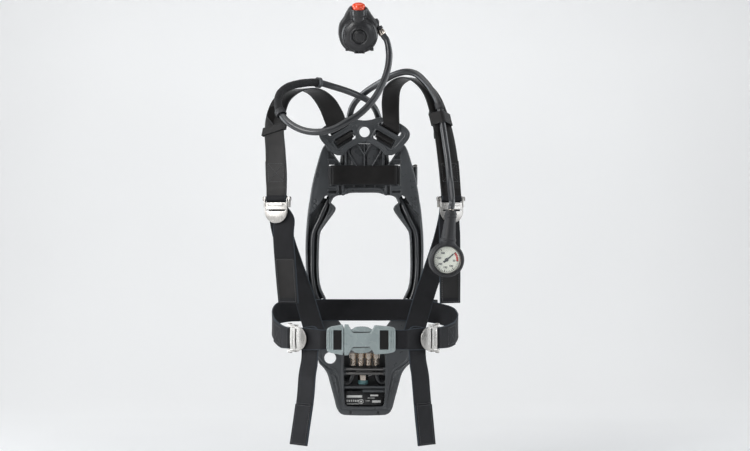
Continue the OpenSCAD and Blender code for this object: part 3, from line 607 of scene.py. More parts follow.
def slot_rows(side):
    """Rows that weave the strap through the yoke's slot."""
    half = [SHOULDER_HALF * math.cos(SLOT_LEAN), 0, -side * SHOULDER_HALF * math.sin(SLOT_LEAN)]
    return [
        [
            side * (UPPER_SLOT[0] + math.sin(SLOT_LEAN) * q), y, UPPER_SLOT[1] + math.cos(SLOT_LEAN) * q,
            *half
        ]
        for q, y in SLOT_WEAVE
    ]


def over_shoulder(side):
    """Rows from the yoke's slot over the shoulder to the adjuster's pin."""
    lean = math.radians(SHOULDER_TURN)
    c, s = math.cos(lean) * SHOULDER_HALF, side * math.sin(lean) * SHOULDER_HALF
    if side < 0:
        rest = [
            [-61, -16, 608, 18.5, -2, 11], [-76, -28, 638, 17, -9, 8], [-97, -48, 659, 15, -16, 3],
            [-120, -68, 664, 14, -17, 0], [-143, -90, 657, 15, -15.5, -3], [-163, -112, 638, 17, -13, -3],
            [-173, -130, 608, 19, -10.5, -1], [-175.5, -145, 575, 19.5, -9, 0],
            [-172.5, -158, 538, 20, -8, 0],
            [-169.5, -170, 490, c * 1.07, s * 1.07, 0],
        ]
    else:
        rest = [
            [54, -15, 606, 17.5, 0, -7.5], [53, -20, 640, 18, 4, -2], [57, -32, 668, 17, 11, 0],
            [73, -52, 683, 15, 15, 0], [94, -74, 685, 14.5, 16, 0], [115, -97, 672, 15, 15.5, 0],
            [132, -118, 650, 16, 14, 0], [144, -137, 618, 17.5, 12, 0], [155, -154, 572, 19, 9.5, 0],
            [163, -169, 515, 20, 8, 0],
        ]
    return slot_rows(side) + rest + [[side * 168.3, -177.4, 449, c, s, 0]]


shoulder_sheet = {}
for word, side in SIDES.items():
    node = f"shoulder_strap_{word}"
    end, shoulder_sheet[word] = sewn_end(over_shoulder(side), shoulder[word], SHOULDER_HALF, 66)
    made = strap(node, over_shoulder(side) + end, SATIN_WEBBING, None, replaces=(node,))
    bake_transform(made)
    sew(f"shoulder_stitching_{word}", shoulder_sheet[word], box_stitch(15.5, 26, 62), 3.7)

for where, group in (("shoulder", shoulder), ("waist", waist)):
    for word in SIDES:
        ring = local_rows(group[word], pin_turn(6.5, 0, 0, 25, 0, 360), 19.4)
        strap(f"{where}_pin_wrap_{word}", ring, WEBBING, thick=1.2, per=2, ripple=0)


def patch_rows(sheet, length, lift, share):
    """Rows for a layer sewn on the front of a strap's last stretch."""
    p, s, n, back = sheet
    near_end = [i for i in range(len(back)) if back[i] < length]
    return [[*(p[i] + n[i] * lift), *(s[i] * share)] for i in near_end[::3]]


def front_sheet(rows, per):
    """A strap's sheet for sewing, on its wearer's side."""
    p, s, n = strap_curve(rows, per)
    return p, s, n * np.sign(-n[:, 1:2]), lengths(p)[-1] - lengths(p)


# Pull straps: shell, adjuster bar, free end
TAILS = {"left": (-155, -145), "right": (165.5, 166)}


def across(degrees, share=1.0):
    """Half-width vector of webbing turned about Z."""
    a = math.radians(degrees)
    return [EDGE * share * math.cos(a), EDGE * share * math.sin(a), 0]


for word, side in SIDES.items():
    turn = side * SHOULDER_TURN
    bar = local_rows(shoulder[word], pin_turn(3.75, 4, -BAR_DROP, 7, 0, -180), EDGE * 0.9)
    up = [
        [side * 96, -5, 150, *across(0)], [side * 99, -16, 166, *across(0)],
        [side * 108, -52, 204, *across(side * 10)], [side * 122, -94, 258, *across(side * 16)],
        [side * 139, -130, 312, *across(side * 18)], [side * 155, -156, 362, *across(turn)],
        [side * 164, -169, 405, *across(turn, 0.95)],
    ]
    near, tip = TAILS[word]
    down = [
        [near - side, -184, 405, *across(turn, 0.95)], [near, -188, 370, *across(turn, 0.97)],
        [(near + tip) / 2, -190, 300, *across(side * 20)], [tip, -192, 241, *across(side * 24)],
    ]
    node = f"lower_strap_{word}"
    strap(node, up + bar + down, replaces=(node,))
    sheet = front_sheet(down, 8)
    strap(
        f"tail_patch_{word}", patch_rows(sheet, 88, 1.85, 0.93), SATIN_WEBBING, thick=1.3, per=3, ripple=0
    )
    sew(f"tail_stitching_{word}", sheet, frame_stitch(17.5, 3, 84), 2.6)

# Waist belt, sewn round the pin of each waist adjuster
UP = [0, 0, EDGE]
BELT_HALF = [0, 0, EDGE * 0.92]
WAIST_X, WAIST_Y, BELT_Z = 140, -232, 177
belt_rows = [
    [-144.6, -228.1, 177, *BELT_HALF], [-158, -206, 179, *UP], [-173, -170, 189, *UP],
    [-181, -115, 200, *UP],
    [-177, -58, 212, *UP], [-158, -22, 216, *UP], [-128, -11.5, 217, *UP], [-80, -8, 218, *UP],
    [-30, -7.5, 218, *UP], [30, -7.5, 218, *UP], [80, -8, 218, *UP], [128, -11.5, 215, *UP],
    [160, -22, 209, *UP], [180, -58, 203, *UP], [185, -115, 194, *UP], [177, -170, 184, *UP],
    [162, -206, 179, *UP], [144.6, -228.1, 177, *BELT_HALF],
]


ends = {}
for word, rows in (("right", belt_rows), ("left", belt_rows[::-1])):
    ends[word], sheet = sewn_end(rows, waist[word], 20, 58)
    sew(f"waist_stitching_{word}", sheet, box_stitch(16, 22, 54), 3.7)
strap("waist_belt", ends["left"][::-1] + belt_rows + ends["right"], replaces=("waist_belt",))


def waist_point(side, v, w):
    """Point v along and w in front of a waist adjuster."""
    c, s = math.cos(math.radians(WAIST_TURN)), math.sin(math.radians(WAIST_TURN))
    return [side * (WAIST_X - v * c + w * s), WAIST_Y - v * s - w * c, BELT_Z]


def upright(share):
    """Half-width vector of belt webbing that stands on its edge."""
    return [0, 0, EDGE * share]


for word, side, end_x in (("left", -1, -60), ("right", 1, 53)):
    bar = [
        [*r[:3], *upright(0.9)]
        for r in local_rows(waist[word], pin_turn(3.75, 4, -BAR_DROP, 7, -180, 0), EDGE * 0.9)
    ]
    rows = [
        [end_x, -280, BELT_Z, *upright(0.84)], [side * 77, -279, BELT_Z, *upright(0.84)],
        [side * 87, -273, BELT_Z, *upright(0.9)], [*waist_point(side, 44, -1), *upright(0.95)],
        [*waist_point(side, 26, 1.5), *upright(0.95)],
    ] + bar + [[*waist_point(side, 21, -8.6), *upright(0.88)]]
    node = f"front_belt_{word}"
    made = strap(node, rows, body="root" if side > 0 else None, replaces=(node,))
    if side < 0:
        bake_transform(made)
    v = np.array([side * math.cos(math.radians(WAIST_TURN)), math.sin(math.radians(WAIST_TURN)), 0])
    top = np.array(waist_point(side, 42, -9))
    tip = -123 if side < 0 else 119
    tail_rows = [
        [*(top + v * 22), 0, 0, 19], [*top, *(v * -20 + [0, 0, 20])], [*(top - [0, 0, 40]), *(v * -21)],
        [side * 107, -240, 106, *(v * -EDGE)], [side * 111, -239, 58, *(v * -EDGE)],
        [tip, -236, -26, *(v * -EDGE)],
    ]
    node = f"belt_tail_{word}"
    strap(node, tail_rows, replaces=(node,), per=10)
    sheet = front_sheet(tail_rows, 10)
    strap(f"tail_fold_{word}", patch_rows(sheet, 84, 2.1, 0.99), thick=1.9, per=3, ripple=0)
    sew(f"fold_stitching_{word}", sheet, frame_stitch(17, 3, 80) + [((-17, 76), (17, 76))], 3.1)

# Cylinder strap: an elastic band round the back of the frame
LOOP = [
    (0, 1.2), (30, 1.2), (56, 1.2), (66, 3.2), (70, 12), (70, 26), (72, 36), (82, 44), (94, 49), (98, 57),
    (98, 66), (96, 76), (86, 84), (60, 89), (0, 92),
]
STRAP_Z = 494


def loop_rows():
    """The closed band, its middle line about half its thickness inside LOOP."""
    left = [(-x, y) for x, y in LOOP[-2:0:-1]]
    ring = np.array(LOOP + left + LOOP[:1], float)
    out = []
    for a, b in zip(ring[:-1], ring[1:]):
        out += [0.78 * a + 0.22 * b, 0.22 * a + 0.78 * b]
    ring = np.array(out + out[:1])
    mid = np.array([0, 46.0])
    t = tangents(ring)
    inward = np.stack([-t[:, 1], t[:, 0]], 1)
    inward *= np.sign(np.sum(inward * (mid - ring), 1))[:, None]
    ring = ring + inward * 1.05
    return [[x, y, STRAP_Z, 0, 0, 20.3] for x, y in ring]


strap(
    "cylinder_strap", loop_rows(), SATIN_WEBBING, per=4, thick=2.0, ripple=0.0, replaces=("cylinder_strap",)
)

# ---------------------------------------------------------------- hoses

GAUGE_LEAN, GAUGE_TURN, BOOT_TOP = 5.7, 8, 95
gauge_at = joint_at("gauge_swivel")
gauge_axis = unit(joints["gauge_swivel"]["axis"])
swivel_at = joint_at("valve_swivel")
swivel_axis = unit(joints["valve_swivel"]["axis"])
inlet = gauge_at + (BOOT_TOP + 1) * gauge_axis
LOWER = [
    (-24, 27, 100.5), (-24.5, 27, 84), (-32, 26, 67), (-45, 25.5, 68), (-52, 25, 86), (-52, 23, 112),
    (-52, 18, 140), (-54, 14.5, 165), (-65, 13, 194), (-84, 12, 222), (-97, 10.5, 243), (-103, 11, 263),
    (-107, 12.5, 292), (-107.5, 14.5, 325), (-105.5, 15.5, 372), (-92, 16.5, 403), (-79, 21, 432),
    (-67, 25, 456), (-55, 24, 474), (-48, 23, 504), (-41, 22, 545), (-34, 20, 582),
]
gauge_path = LOWER + [
    (-31, 17, 612), (-25, 9, 634), (-12, -2, 651), (9, -19, 667), (34, -46, 680), (58, -66, 692),
    (82, -84, 697), (102, -97, 692), (118, -111, 677), (132.3, -127, 656), (147, -146.5, 623),
    (154.3, -164, 575), (162, -180, 517), (165, -198, 480), (166.5, -217, 456),
    tuple(inlet + 14 * gauge_axis), tuple(inlet + 7 * gauge_axis), tuple(inlet + 0.4 * gauge_axis),
]
valve_path = [(-x, y, z) for x, y, z in LOWER] + [
    (29, 18, 610), (22, 8, 629), (9, -14, 644), (-12, -29, 654), (-36, -38, 663), (-64, -48, 671),
    (-92, -66, 677), (-120, -90, 674), (-146, -112, 666), (-163, -132, 652), (-168, -148, 632),
    (-162, -163, 609), (-145, -178, 589), (-120, -190, 575), (-93, -198, 570), (-64, -202, 574),
    (-35, -202, 588), (-8, -198, 605), (17, -192, 631), (34, -184, 660), (45, -174, 690),
    (49, -165, 718), (47.3, -159.5, 739), tuple(swivel_at - 13 * swivel_axis),
    tuple(swivel_at - 7 * swivel_axis), tuple(swivel_at - 0.4 * swivel_axis),
]
GAUGE_LOOP, VALVE_CLIP, VALVE_LOOP = 32, 28, 33


def hose_radius(p):
    """Full size in the open, slimmer where the fittings hold it."""
    way = lengths(p)
    return np.interp(np.minimum(way, way[-1] - way), [0, 18, 40], [6, 6, 6.6])


gauge_line, valve_line = curve(gauge_path, 6), curve(valve_path, 6)
tube("gauge_hose", gauge_line, hose_radius(gauge_line), HOSE, replaces=("gauge_hose",))
tube("valve_hose", valve_line, hose_radius(valve_line), HOSE, replaces=("valve_hose",))

sleeve = curve(valve_path, 8)[VALVE_CLIP * 8 : VALVE_LOOP * 8 + 1]
way = lengths(sleeve)
inner = 6.75
swell = 8.0 + 0.18 * np.sin(way / 5.5) + 0.1 * np.sin(way / 2.3)
ends = np.clip(np.minimum(way, way[-1] - way) / 2.5, 0, 1)
swell = inner + 0.4 + (swell - inner - 0.4) * np.sqrt(ends)
tube("hose_sleeve", sleeve, swell, SLEEVE, replaces=("hose_sleeve",))


def facing(direction, position):
    """Matrix that stands local Z along a direction."""
    d = unit(direction)
    a = math.degrees(math.atan2(math.hypot(d[0], d[1]), d[2]))
    return place(position, (math.degrees(math.atan2(d[1], d[0])), "Z"), (a, "Y"))


COLLAR_WALL, COLLAR_CHAMFER, COLLAR_GROOVE = 1.8, 0.7, 0.35


def band(name, path, index, r, height, material):
    """Rounded collar round a hose."""
    d = np.array(path[index + 1]) - np.array(path[index - 1])
    h, c = height / 2, COLLAR_CHAMFER
    out = r + COLLAR_WALL
    return lathe(name, [
        (r, -h + c), (r + c, -h), (out - c, -h), (out, -h + c), (out, -h * 0.25),
        (out - COLLAR_GROOVE, -h * 0.15),
        (out - COLLAR_GROOVE, h * 0.15), (out, h * 0.25), (out, h - c), (out - c, h), (r + c, h),
        (r, h - c),
    ], facing(d, path[index]), material, segments=48)


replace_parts(band("hose_loop_gauge", gauge_path, GAUGE_LOOP, 6.9, 14, SOFT_RUBBER), "hose_loops")
band("hose_loop_valve", valve_path, VALVE_LOOP, 8.9, 12, SOFT_RUBBER)


def hull(points):
    """Convex outline of points, anticlockwise."""
    points = sorted(map(tuple, points))
    chain = []
    for run in (points, points[::-1]):
        part = []
        for q in run:
            while len(part) > 1 and np.cross(
                np.subtract(part[-1], part[-2]), np.subtract(q, part[-2])
            ) <= 0:
                part.pop()
            part.append(q)
        chain += part[:-1]
    return chain


def keeper(name, sheet, near, width, lean=0.0, reach=(0, 0), hose=None, hose_r=7.7):
    """Flat loop round a strap, and round a hose that lies on it."""
    p, s, n, _ = sheet
    i = int(np.argmin(np.linalg.norm(p - near, axis=1)))
    u = unit(s[i]) * np.sign(s[i][0])
    half = np.linalg.norm(s[i])
    t = unit(np.cross(n[i], u))
    t = t * np.sign(t[2])
    flat = [(-half - 1.3 - reach[0], v) for v in (-2.8, 2.8)] + [
        (half + 1.3 + reach[1], v) for v in (-2.8, 2.8)
    ]
    if hose is not None:
        h = hose[int(np.argmin(np.linalg.norm(hose - p[i], axis=1)))] - p[i]
        flat += [
            (h @ u + hose_r * math.cos(a), h @ n[i] + hose_r * math.sin(a))
            for a in np.arange(24) * math.pi / 12
        ]
    ring = cut_corners(hull(flat), 1, 0.06)
    rows = [
        [*(p[i] + a * u + b * n[i] + a * math.tan(math.radians(lean)) * t), *(t * width / 2)]
        for a, b in ring
    ]
    return strap(name, rows + rows[:1], SATIN_WEBBING, thick=1.3, per=2, ripple=0)


def cut_corners(points, rounds=1, share=0.22):
    """Outline with its corners cut, which rounds it."""
    p = np.array(points, float)
    for _ in range(rounds):
        q = np.roll(p, -1, 0)
        p = np.stack([(1 - share) * p + share * q, share * p + (1 - share) * q], 1).reshape(-1, 2)
        share = 0.25
    return p


keeper("strap_keeper_left", shoulder_sheet["left"], (-175, -143, 578), 17, 17, (0, 1))
keeper("strap_keeper_right", shoulder_sheet["right"], (149, -146, 597), 25, 0, (0, 0), gauge_line)
strap("keeper_flap_left", [
    [-170, -139, 584, 8, 2, -4], [-179, -137.5, 594, 8, 2, -5], [-183, -136, 606, 8, 2, -1],
    [-180, -134, 624, 6.5, 2, 2],
], SATIN_WEBBING, thick=1.6, per=5, ripple=0)
strap("keeper_tab_right", [
    [143, -157, 592, 5.5, 1.5, 0], [141.5, -160, 582, 5.5, 1.5, 0], [141, -161, 570, 5.5, 1.5, 0],
    [141.5, -161, 559, 5.2, 1.5, 0],
], SATIN_WEBBING, thick=2.2, per=5, ripple=0)
strap("keeper_curl_right", [
    [140, -147, 606, 1, 0, 5.5], [134, -149, 607, 1.5, 0, 5.5], [129.5, -149, 609, 1.5, 1, 5.5],
    [127, -146, 611, 1.0, 2, 5.2],
], SATIN_WEBBING, thick=1.4, per=5, ripple=0)
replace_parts(band("hose_clip", valve_path, VALVE_CLIP, 8.9, 9, FRAME_PLASTIC), "hose_clip")

# ---------------------------------------------------------------- solids from distance fields

def smin(a, b, k):
    """Two fields together, with the join rounded by k."""
    h = np.clip(0.5 + 0.5 * (b - a) / k, 0, 1)
    return b * (1 - h) + a * h - k * h * (1 - h)


def smax(a, b, k):
    """The part that both fields share, with its edge rounded by k."""
    return -smin(-a, -b, k)


def meet(*fields):
    """The part that all fields share."""
    return reduce(np.maximum, fields)


def join(*fields):
    """All fields together, with sharp joins."""
    return reduce(np.minimum, fields)


def cut(body, field, k):
    """Body without field, with its edge rounded by k."""
    return smax(body, -field, k)


def slab(v, low, high):
    """Layer between two heights."""
    return np.maximum(low - v, v - high)


def ramp(v, low, high):
    """0 below low, 1 above high."""
    return np.clip((v - low) / (high - low), 0, 1)


def mirrored(points):
    """Right half of an outline with its left half."""
    return list(points) + [(-x, z) for x, z in points[-2:0:-1]]


def polygon(points):
    """Distance to a closed outline, negative inside."""
    p = np.array(points, float)

    def distance(x, z):
        best, sign = 1e12, 1.0
        for a, b in zip(p, np.roll(p, -1, 0)):
            e = b - a
            wx, wz = x - a[0], z - a[1]
            t = np.clip((wx * e[0] + wz * e[1]) / max(e @ e, 1e-12), 0, 1)
            best = np.minimum(best, (wx - e[0] * t) ** 2 + (wz - e[1] * t) ** 2)
            c1, c2, c3 = z >= a[1], z < b[1], e[0] * wz > e[1] * wx
            flip = (c1 & c2 & c3) | (~c1 & ~c2 & ~c3)
            sign = np.where(flip, -sign, sign)
        return sign * np.sqrt(best)

    return distance


def rect(x, z, cx, cz, hx, hz, r=0.0, lean=0.0):
    """Distance to a rectangle with half sizes hx and hz, corners r and a lean in degrees."""
    c, s = math.cos(math.radians(lean)), math.sin(math.radians(lean))
    u, v = (x - cx) * c + (z - cz) * s, -(x - cx) * s + (z - cz) * c
    du, dv = abs(u) - hx + r, abs(v) - hz + r
    return np.hypot(np.maximum(du, 0), np.maximum(dv, 0)) + np.minimum(np.maximum(du, dv), 0) - r


def rects(x, z, *rows):
    """Rectangles together, one for each row of centre, half sizes, corner radius and lean."""
    return join(*(rect(x, z, *row) for row in rows))


def bar_line(x, y, z, points, r):
    """Distance to a round bar along a chain of points."""
    best = 1e9
    p = np.array(points, float)
    for a, b in zip(p[:-1], p[1:]):
        e = b - a
        t = np.clip(((x - a[0]) * e[0] + (y - a[1]) * e[1] + (z - a[2]) * e[2]) / (e @ e), 0, 1)
        d = np.sqrt((x - a[0] - e[0] * t) ** 2 + (y - a[1] - e[1] * t) ** 2 + (z - a[2] - e[2] * t) ** 2)
        best = np.minimum(best, d - r)
    return best


def net(field, low, high, step):
    """Points and quads on the surface where field is zero, moved onto it."""
    axes = [np.arange(a - 1.5 * step, b + 2.5 * step, step) for a, b in zip(low, high)]
    shape = tuple(len(a) for a in axes)
    f = np.broadcast_to(field(*np.ix_(*axes)), shape).astype(np.float32)
    inside = f < 0
    count = np.zeros([n - 1 for n in shape], np.uint8)
    for d in product((0, 1), repeat=3):
        count += inside[tuple(slice(o, n - 1 + o) for o, n in zip(d, shape))]
    cells = np.argwhere((count > 0) & (count < 8))
    ids = np.full(count.shape, -1, np.int64)
    ids[tuple(cells.T)] = np.arange(len(cells))
    corner = {d: f[tuple((cells + d).T)] for d in product((0, 1), repeat=3)}
    total, hits = np.zeros((len(cells), 3)), np.zeros(len(cells))
    for axis in range(3):
        for d in product((0, 1), repeat=3):
            if d[axis]:
                continue
            e = tuple(1 if i == axis else v for i, v in enumerate(d))
            a, b = corner[d], corner[e]
            crossing = (a < 0) != (b < 0)
            t = np.where(crossing, a / np.where(crossing, a - b, 1), 0)
            point = np.array(d) + t[:, None] * (np.arange(3) == axis)
            total += crossing[:, None] * point
            hits += crossing
    origin = np.array([a[0] for a in axes])
    v = (cells + total / hits[:, None]) * step + origin
    for _ in range(3):
        value = field(*v.T)
        e = 0.15 * step
        g = np.stack([field(*(v + e * (np.arange(3) == a)).T) - value for a in range(3)], 1) / e
        move = -(value / np.maximum(np.sum(g * g, 1), 0.25))[:, None] * g
        size = np.linalg.norm(move, axis=1, keepdims=True)
        v += move * np.minimum(1, 0.4 * step / np.maximum(size, 1e-9))
    quads = []
    for axis in range(3):
        a1, a2 = [i for i in range(3) if i != axis]
        first = [slice(None)] * 3
        second = [slice(None)] * 3
        first[axis], second[axis] = slice(0, -1), slice(1, None)
        for s in (first, second):
            s[a1], s[a2] = slice(1, -1), slice(1, -1)
        one, two = inside[tuple(first)], inside[tuple(second)]
        at = np.argwhere(one != two)
        out = one[tuple(at.T)]
        at[:, a1] += 1
        at[:, a2] += 1
        corners = []
        for o1, o2 in ((-1, -1), (0, -1), (0, 0), (-1, 0)):
            c = at.copy()
            c[:, a1] += o1
            c[:, a2] += o2
            corners.append(ids[tuple(c.T)])
        q = np.stack(corners, 1)
        if axis == 1:
            out = ~out
        q[~out] = q[~out][:, ::-1]
        quads.append(q)
    return v, np.concatenate(quads)


def solid(name, field, low, high, step, material, body="root", matrix=None, replaces=()):
    """Smooth piece from a distance field, moved by the matrix when one is given."""
    v, quads = net(field, low, high, step)
    if matrix is not None:
        v = moved(matrix, v)
    return piece(name, v, quads, material, body, None, 180, replaces, close=False)


# ---------------------------------------------------------------- back frame

SHELL = 62
LUMBAR_X, LUMBAR_Z, LUMBAR_R = -70.5, 119, 12
CONNECTOR_Z = 102
REAR_LOW, REAR_HIGH = 50, 54
FRONT = np.array([[-1, 6], [110, 0], [215, -3], [330, 8], [450, 8], [520, 4.9], [556, 2], [620, 2]], float)
BACK = np.array([[-1, SHELL], [120, SHELL], [190, 42], [240, 34], [450, 34], [560, 14], [620, 9]], float)
frame_outline = polygon(cut_corners(mirrored([
    (0, 2), (50, 2), (57, 16), (62, 37), (70, 66), (75, 86), (83, 99), (95, 110), (97, 142), (104, 184),
    (113, 235),
    (119, 290), (120.5, 340), (119.5, 374), (116, 416), (108, 472), (99, 508), (89, 542), (82, 556),
    (60, 566),
    (36, 574), (32, 598), (0, 598),
]), 2))
window_outline = polygon(cut_corners(mirrored([
    (0, 458), (30, 458), (40, 454), (60, 452), (70, 441), (69, 436), (62, 430.5), (59.5, 425), (62, 418),
    (84.7, 388),
    (94, 373),
    (95, 272), (79, 238), (56, 201), (48, 189), (38, 177), (0, 175),
]), 2))
reducer_outline = polygon(
    cut_corners([(-41, 26), (-36, 19), (36, 19), (41, 26), (43, 120), (38, 132), (-38, 132), (-43, 120)], 1)
)
channel_outline = polygon([(60, 240), (130, 240), (130, 396), (100, 424), (82, 450), (74, 450), (60, 428)])
opening_outline = polygon(
    cut_corners([(41, 510), (44, 510), (57, 528), (63, 537), (60, 542), (41, 542)], 1, 0.12)
)
wedge_outline = polygon(cut_corners([
    (71, 437), (69, 436), (62, 430.5), (59.5, 425), (62, 418), (84.7, 388), (94, 373), (98, 371), (97, 380),
    (88, 394),
    (74, 420),
], 1, 0.15))
HOSE_LINE = [(-q[0], q[1], q[2]) for q in curve(LOWER, 2) if 212 < q[2] < 476]


def frame_field(x, y, z):
    ax = abs(x)
    d, w = frame_outline(ax, z), window_outline(ax, z)
    fy, by = np.interp(z, FRONT[:, 0], FRONT[:, 1]), np.interp(z, BACK[:, 0], BACK[:, 1])
    depth = y - fy
    ring = cut(d, w, 1)
    # crowned outer faces of the rails
    along = ramp(z, 140, 200) * (1 - ramp(z, 520, 550))
    crown = 1.1 * np.clip(-d / 12, 0, 1) * along
    thick = 5 + 2.6 * ramp(z, 449, 452) * np.clip((552 - z) / 4, 0, 1)
    web = smax(ring, slab(depth, 0.6 - crown, thick), 3.5)
    wall = smax(smax(meet(d, -(d + 4)), slab(z, 10, 556), 1.5), slab(y, fy + 0.6 - crown, by), 3.0)
    rail = smax(smax(ring, slab(y, fy + 0.6 - crown, by), 4.0), slab(z, 240, 436), 2)
    body = smin(smin(web, wall, 3), rail, 3)
    backing = smax(smax(ring, slab(y, by - 4, by), 1.5), slab(z, 425, 462), 1)
    body = smin(body, backing, 2)
    # raised rim round the lower shell and beads down its sides
    low = np.clip((150 - z) / 20, 0, 1)
    rim = meet(abs(d + 4.6) - 2.0, slab(depth, -1.5 * low + 0.6, 3))
    body = smin(body, meet(rim, z - 150), 1.6)
    bead = bar_line(
        ax, depth, z,
        [(66, 0.4, 85), (60, 0.4, 79), (57.7, 0.4, 69), (54.8, 0.4, 54), (46.5, 0.4, 30), (41, 0.6, 17)],
        1.7
    )
    body = smin(body, bead, 1.2)
    line = [
        (98, 0.9, 128), (84, 0.9, 111), (71, 0.9, 100.5), (60, 0.9, 95), (55, 0.9, 87), (51.8, 0.9, 70),
        (47.4, 0.9, 46), (43, 0.9, 24)
    ]
    groove = bar_line(ax, depth, z, [(q[0] + 3.2, q[1] - 0.6, q[2] - 2) for q in line], 1.7)
    body = cut(smin(body, bar_line(ax, depth, z, line, 1.2), 2.0), groove, 1.2)
    wr = reducer_outline(x, z)
    body = smin(body, meet(abs(wr - 2.2) - 1.6, slab(depth, -0.6, 3), slab(z, 14, 130)), 1.4)
    boss = meet(np.hypot(x - LUMBAR_X, z - LUMBAR_Z) - LUMBAR_R - 3.5, slab(y, -0.3, 12))
    body = smin(body, boss, 2)
    # crossbar: shelves at its ends, posts, and an arched lip over the window
    lift = slab(depth, -1.6, 5)
    shelves = rects(
        ax, z, (66, 463.6, 9, 1.5), (64, 455.5, 11, 2.0), (66, 469.6, 8, 1.2), (66, 526, 8.5, 1.5)
    )
    posts = rects(
        ax, z, (54.5, 463, 1.9, 11), (44.5, 463, 2.2, 11),
        (22, 470, 1.1, 4), (0, 470, 1.1, 4), (38, 528, 1.8, 16),
    )
    fin = bar_line(ax, 0 * y, z, [(80, 0, 555), (45, 0, 511)], 1.2)
    arch = bar_line(ax, 0 * y, z, [(0, 0, 466.4), (29.5, 0, 466.4), (36, 0, 462.5), (42, 0, 455)], 2.1)
    raised = join(
        meet(join(shelves, posts), lift), meet(arch, slab(depth, -2.6, 6)),
        meet(fin, slab(z, 511, 554), slab(depth, -1.2, 5)),
    )
    # cuts
    inner = meet(d + 4, 4 - w, channel_outline(ax, z))
    body = cut(body, meet(inner, slab(depth, -12, 17)), 2.2)
    body = smin(
        body, smax(smax(wedge_outline(ax, z), slab(y, fy + 1.2, by), 2.5), slab(z, 370, 440), 1), 0.8
    )
    body = cut(body, bar_line(ax, y, z, HOSE_LINE, 7.9), 0.8)
    body = cut(body, meet(rect(ax, z, 79.5, 449.5, 2.0, 3.8, 1, 60), slab(y, -10, 70)), 1.2)
    shelf = smax(rect(x, z, 0, 58.4, 44, 2.7, 1), slab(y, 8, 13), 2.0)
    shelf = join(shelf, smax(rect(x, z, 20, 50.6, 24, 2.9, 1), slab(y, 9, 13), 1.5))
    strap_slot = rect(ax, z, 67.5, STRAP_Z, 5.5, 20.9, 1.2)
    lumbar = np.hypot(x - LUMBAR_X, z - LUMBAR_Z) - LUMBAR_R
    yoke_slot = rects(ax, z, (21.5, 586, 3, 30, 1), (0, 596, 13, 28, 2))
    holes = join(wr + 0 * y, strap_slot, opening_outline(ax, z), lumbar, yoke_slot)
    pocket = rects(
        ax, z, (11, 471, 9.6, 3.0, 0.8), (32.5, 471, 9.2, 3.6, 0.8), (49.5, 463, 3.0, 9, 0.8), (
            65, 459.4, 9, 2.4, 0.8
        )
    )
    pocket = join(pocket, meet(rect(ax, z, 0, 460.5, 33, 4.2, 1.5), arch - 0.4))
    panel = meet(ax - 36, slab(z, 512, 558.5))
    outside = 47.2 + (z - 511) * 35 / 44 - ax
    beside = rects(ax, z, (66, 538, 7.4, 10, 1), (63, 519.5, 10.4, 4.4, 1))
    beside = meet(beside, outside * 0.78, slab(depth, -9, 5.6))
    body = cut(body, beside, 1.0)
    body = cut(body, meet(pocket, slab(depth, -9, 5.8)), 0.8)
    body = cut(body, meet(panel, slab(depth, -9, 4.6)), 1.2)
    body = smin(body, raised, 1.0)
    body = cut(body, holes, 1.6)
    rear = meet(d, join(slab(z, 10, 98), meet(ax - 56, slab(z, 90, 140))))
    rear = meet(rear, slab(y, REAR_LOW, REAR_HIGH), 26.6 - np.hypot(x, z - CONNECTOR_Z))
    body = smin(smin(body, shelf, 1.0), rear, 1.5)
    for height in (430, 440):
        screw = np.hypot(ax - 102, z - height)
        body = cut(body, meet(screw - 4.2, depth - 1.2), 0.5)
        body = cut(body, meet(screw - 2.1, slab(y, -1, 24)), 0.4)
    # stiffening ribs inside the shell
    ribs = rects(ax, z, (66, 153, 1.3, 18), (80, 150, 14, 1.3), (40, 166, 46, 1.3))
    body = smin(body, meet(ribs, slab(y, fy + 3, join(by - 8, 30))), 2)
    return meet(body, -(z - 12.0))


step = 1.5
solid(
    "back_frame_shell", frame_field, (-123, -6, 10), (123, 64, 600), step, FRAME_PLASTIC,
    replaces=("back_frame",)
)


def rib_field(x, y, z):
    ax = abs(x)
    fy = np.interp(z, FRONT[:, 0], FRONT[:, 1])
    depth = y - fy
    barrel = 3.4 * np.sqrt(np.clip(1 - ((ax - 15.5) / 14.5) ** 2, 0, 1))
    base = smax(meet(ax - 35.6, slab(z, 512.4, 558)), slab(depth, 4.1 - barrel, 5.0), 0.8)

    def rib(x0, z0, x1, z1, t):
        return bar_line(ax, 0 * y, z, [(x0, 0, z0), (x1, 0, z1)], t)

    ribs = join(rib(0, 513, 0, 558, 1.2), rib(0, 536, 14.5, 558, 1.1))
    ribs = join(ribs, rib(16.5, 513, 35, 544, 1.1))
    ribs = smax(meet(ribs, slab(z, 512.6, 557.8)), meet(-1.6 - y, depth - 4.6), 0.8)
    return smin(base, ribs, 1.2)


solid(
    "spine_rib_panel", rib_field, (-37, -3, 511), (37, 11, 563), 0.8, RIB_PLASTIC,
    replaces=("spine_ribs",)
)

# ---------------------------------------------------------------- yoke

yoke_outline = polygon(cut_corners(mirrored([
    (0, 605), (16, 607), (30, 613), (54, 608), (72, 600), (87, 590), (94, 579), (91, 567), (80, 554),
    (66, 539),
    (57, 534), (47, 532), (39, 537), (35, 545), (17, 556), (0, 562),
]), 2))


